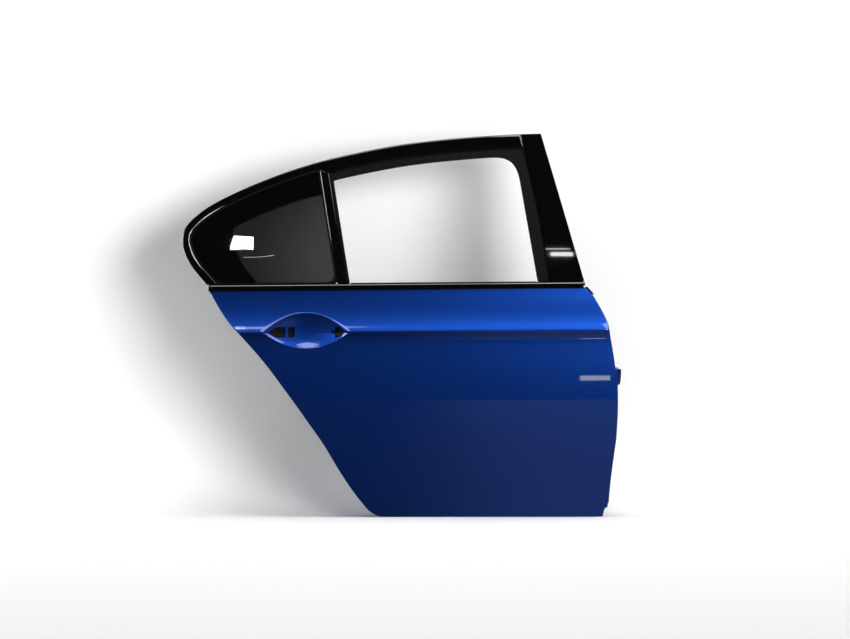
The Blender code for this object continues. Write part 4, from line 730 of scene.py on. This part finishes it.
# Floor and backdrop

# A mirror sees the backdrop glow: dim towards the car's rear, lit towards its front
stage = {
    "floor": -0.3480, "wall": 0.32, "near": -9.0, "side": 9.0, "high": 7.0, "sweep": 0.3, "sweepSteps": 12,
    "white": (0.90, 0.90, 0.90), "dimTo": -0.75, "litFrom": -0.05, "dim": (0.04, 0.044, 0.05),
    "lit": (0.23, 0.24, 0.26),
}


def stageMesh():
    # A floor that sweeps up into a wall behind the door, facing the camera
    start = stage["wall"] - stage["sweep"]
    built = bmesh.new()
    corners = [built.verts.new((x, stage["near"], stage["floor"])) for x in (-stage["side"], stage["side"])]
    foot = extruded(built, [built.edges.new(corners)])
    bmesh.ops.translate(built, vec=(0, start - stage["near"], 0), verts=foot)
    swung = bmesh.ops.spin(built, geom=[built.edges.get(foot)], angle=math.pi / 2, axis=(1, 0, 0),
                           cent=(0, start, stage["floor"] + stage["sweep"]),
                           steps=stage["sweepSteps"])["geom_last"]
    last = extruded(built, [part for part in swung if isinstance(part, bmesh.types.BMEdge)])
    bmesh.ops.translate(built, vec=(0, 0, stage["high"] - stage["floor"] - stage["sweep"]), verts=last)
    bmesh.ops.recalc_face_normals(built, faces=built.faces[:])
    built.faces.ensure_lookup_table()
    if built.faces[0].normal.z < 0:
        bmesh.ops.reverse_faces(built, faces=built.faces[:])
    return built


def stageMaterial():
    # White to the eye from its front, clear from behind, and a glow to a mirror
    made = bpy.data.materials.new("floorWhite")
    made.use_nodes = True
    graph = Graph(made.node_tree)
    mirrored = graph.node("ShaderNodeLightPath", "Is Glossy Ray")
    white = graph.node("ShaderNodeBsdfDiffuse", Color=colour(stage["white"]))
    along = graph.node("ShaderNodeSeparateXYZ", "X", Vector=objectSpot(graph))
    shade = along.step(stage["dimTo"], stage["litFrom"]).mix(colour(stage["dim"]), colour(stage["lit"]))
    glow = graph.node("ShaderNodeEmission", Color=shade, Strength=1.0)
    front = graph.node("ShaderNodeMixShader", i0=mirrored, i1=white, i2=glow)
    behind = mirrored.of("Is Camera Ray") * graph.node("ShaderNodeNewGeometry", "Backfacing")
    clear = graph.node("ShaderNodeBsdfTransparent")
    sided = graph.node("ShaderNodeMixShader", i0=behind, i1=front, i2=clear)
    graph.node("ShaderNodeOutputMaterial", Surface=sided)
    return made


def makeStage():
    floor = meshed("floor", stageMesh())
    floor.data.shade_smooth()
    floor.data.materials.append(stageMaterial())


makeStage()
print("stage made")

# Light

camera = {"place": (-0.49795, -12.045, 0.1723), "lens": 193.25, "sensor": 36.0, "farthest": 100.0}
sky = {"white": (1, 1, 1), "ambient": 0.07, "seen": 0.015}
diffuseSuns = {
    "key": {"aside": 38.0, "above": 6.0, "strength": 3.2, "spread": 30.0},
    "over": {"aside": 10.0, "above": 82.0, "strength": 1.9, "spread": 30.0},
}
glossSuns = {
    "top": {"aside": -15.0, "above": 70.0, "strength": 0.65, "spread": 22.0},
    "rear": {"aside": -62.0, "above": 28.0, "strength": 2.6, "spread": 20.0},
}


def makeWorld():
    # White to the camera, nearly black to a mirror and a faint light to all else
    world = bpy.data.worlds.new("room")
    scene.world = world
    world.use_nodes = True
    graph = Graph(world.node_tree)
    mirrored = graph.node("ShaderNodeLightPath", "Is Glossy Ray")
    direct = mirrored.of("Is Camera Ray")
    strength = mirrored * sky["seen"] + (1.0 - mirrored - direct) * sky["ambient"] + direct
    background = graph.node("ShaderNodeBackground", Color=colour(sky["white"]), Strength=strength)
    graph.node("ShaderNodeOutputWorld", Surface=background)


def lamp(name, data):
    made = bpy.data.objects.new(name, data)
    scene.collection.objects.link(made)
    return made


def makeSun(name, aside, above, strength, spread, gloss):
    # A far softbox, so many degrees towards the car's front and above the level of the door.
    # One kind lights what is matt, and the other is only seen in gloss.
    data = bpy.data.lights.new(name, "SUN")
    data.energy = strength
    data.angle = math.radians(spread)
    made = lamp(name, data)
    made.visible_diffuse = not gloss
    made.visible_glossy = gloss
    turn, rise = math.radians(aside), math.radians(above)
    towards = Vector((-math.sin(turn) * math.cos(rise), math.cos(turn) * math.cos(rise), -math.sin(rise)))
    made.rotation_euler = towards.to_track_quat("-Z", "Y").to_euler()


boxes = {
    "frontBox": {"place": (0.55, -2.25, 1.06), "target": (-0.1, 0.0, 0.15), "width": 0.26, "height": 0.26,
                 "power": 16.0},
    "highBox": {"place": (0.55, -0.25, 2.1), "target": (-0.1, 0.0, 0.15), "width": 2.0, "height": 1.1,
                "power": 38.0},
}
# Middles and sizes of the images are in the picture's pixels, and shine is how bright a lamp's face is
glints = {
    "paneSquare": {"piece": "quarter_glassLook", "middle": (245, 240.5), "size": (24, 25), "shine": 40.0,
                   "beside": ["roof_mouldingLook"]},
    "paneLine": {"piece": "quarter_glassLook", "middle": (258, 252), "size": (34, 0.7), "shine": 12.0},
    "pillarBar": {"piece": "pillar_coverLook", "middle": (562, 256.5), "size": (26, 8), "shine": 14.0},
    "pillarLine": {"piece": "pillar_coverLook", "middle": (558, 244), "size": (28, 1.6), "shine": 14.0},
    "rearFlash": {"piece": "outerSkin", "middle": (239, 327), "size": (13, 4), "shine": 10.0},
    "lowerBar": {"piece": "outerSkin", "middle": (596, 378.7), "size": (35, 9), "shine": 6.0},
}
# A pixel's width at the door, the pixel of the origin, and how far the lamps stand from the door
view = {"pixel": 0.00263, "originX": 614.5, "originZ": 385.0, "lampAway": 1.2}


def makeGlossBox(name, matrix, width, height, power):
    # A softbox that is only seen in gloss
    data = bpy.data.lights.new(name, "AREA")
    data.shape = "RECTANGLE"
    data.size = width
    data.size_y = height
    data.energy = power
    made = lamp(name, data)
    made.visible_diffuse = False
    made.visible_camera = False
    made.matrix_world = matrix
    return made


def facing(place, target):
    # The place and turn of a level lamp that shines at a target
    back = (Vector(place) - Vector(target)).normalized()
    up = back.cross(Vector((0, 0, 1)).cross(back)).normalized()
    turn = Matrix((up.cross(back), up, back)).transposed().to_4x4()
    turn.translation = place
    return turn


def makeGlint(name, piece, middle, size, shine, beside=()):
    # A small softbox, placed where its mirror image shows on a piece, round this pixel.
    # It lights only that piece and those named beside it.
    tree = BVHTree.FromObject(bpy.data.objects[piece], bpy.context.evaluated_depsgraph_get())
    eye = Vector(camera["place"])
    aim = Vector((middle[0] - view["originX"], 0.0, view["originZ"] - middle[1])) * view["pixel"]
    way = (aim - eye).normalized()
    spot, normal = tree.ray_cast(eye, way)[:2]
    place = spot + way.reflect(normal) * view["lampAway"]
    grow = view["pixel"] * (1 - view["lampAway"] / eye.y)
    width, height = size[0] * grow, size[1] * grow
    softbox = makeGlossBox(name, facing(place, spot), width, height, shine * math.pi * width * height)
    lit = bpy.data.collections.new(name)
    for shown in (piece, *beside):
        lit.objects.link(bpy.data.objects[shown])
    softbox.light_linking.receiver_collection = lit


makeWorld()
for name, box in boxes.items():
    makeGlossBox(name, facing(box["place"], box["target"]), box["width"], box["height"], box["power"])
for name, glint in glints.items():
    makeGlint(name, **glint)
for name, sun in diffuseSuns.items():
    makeSun(name, gloss=False, **sun)
for name, sun in glossSuns.items():
    makeSun(name, gloss=True, **sun)
print("lights made")

# Camera


def makeCamera():
    # Level and square to the door, from the outboard side
    data = bpy.data.cameras.new("camera")
    data.lens = camera["lens"]
    data.sensor_width = camera["sensor"]
    data.clip_end = camera["farthest"]
    made = bpy.data.objects.new("camera", data)
    scene.collection.objects.link(made)
    made.location = camera["place"]
    made.rotation_euler = (math.pi / 2, 0.0, 0.0)
    scene.camera = made


makeCamera()
scene.view_settings.view_transform = "Standard"
print("camera made")
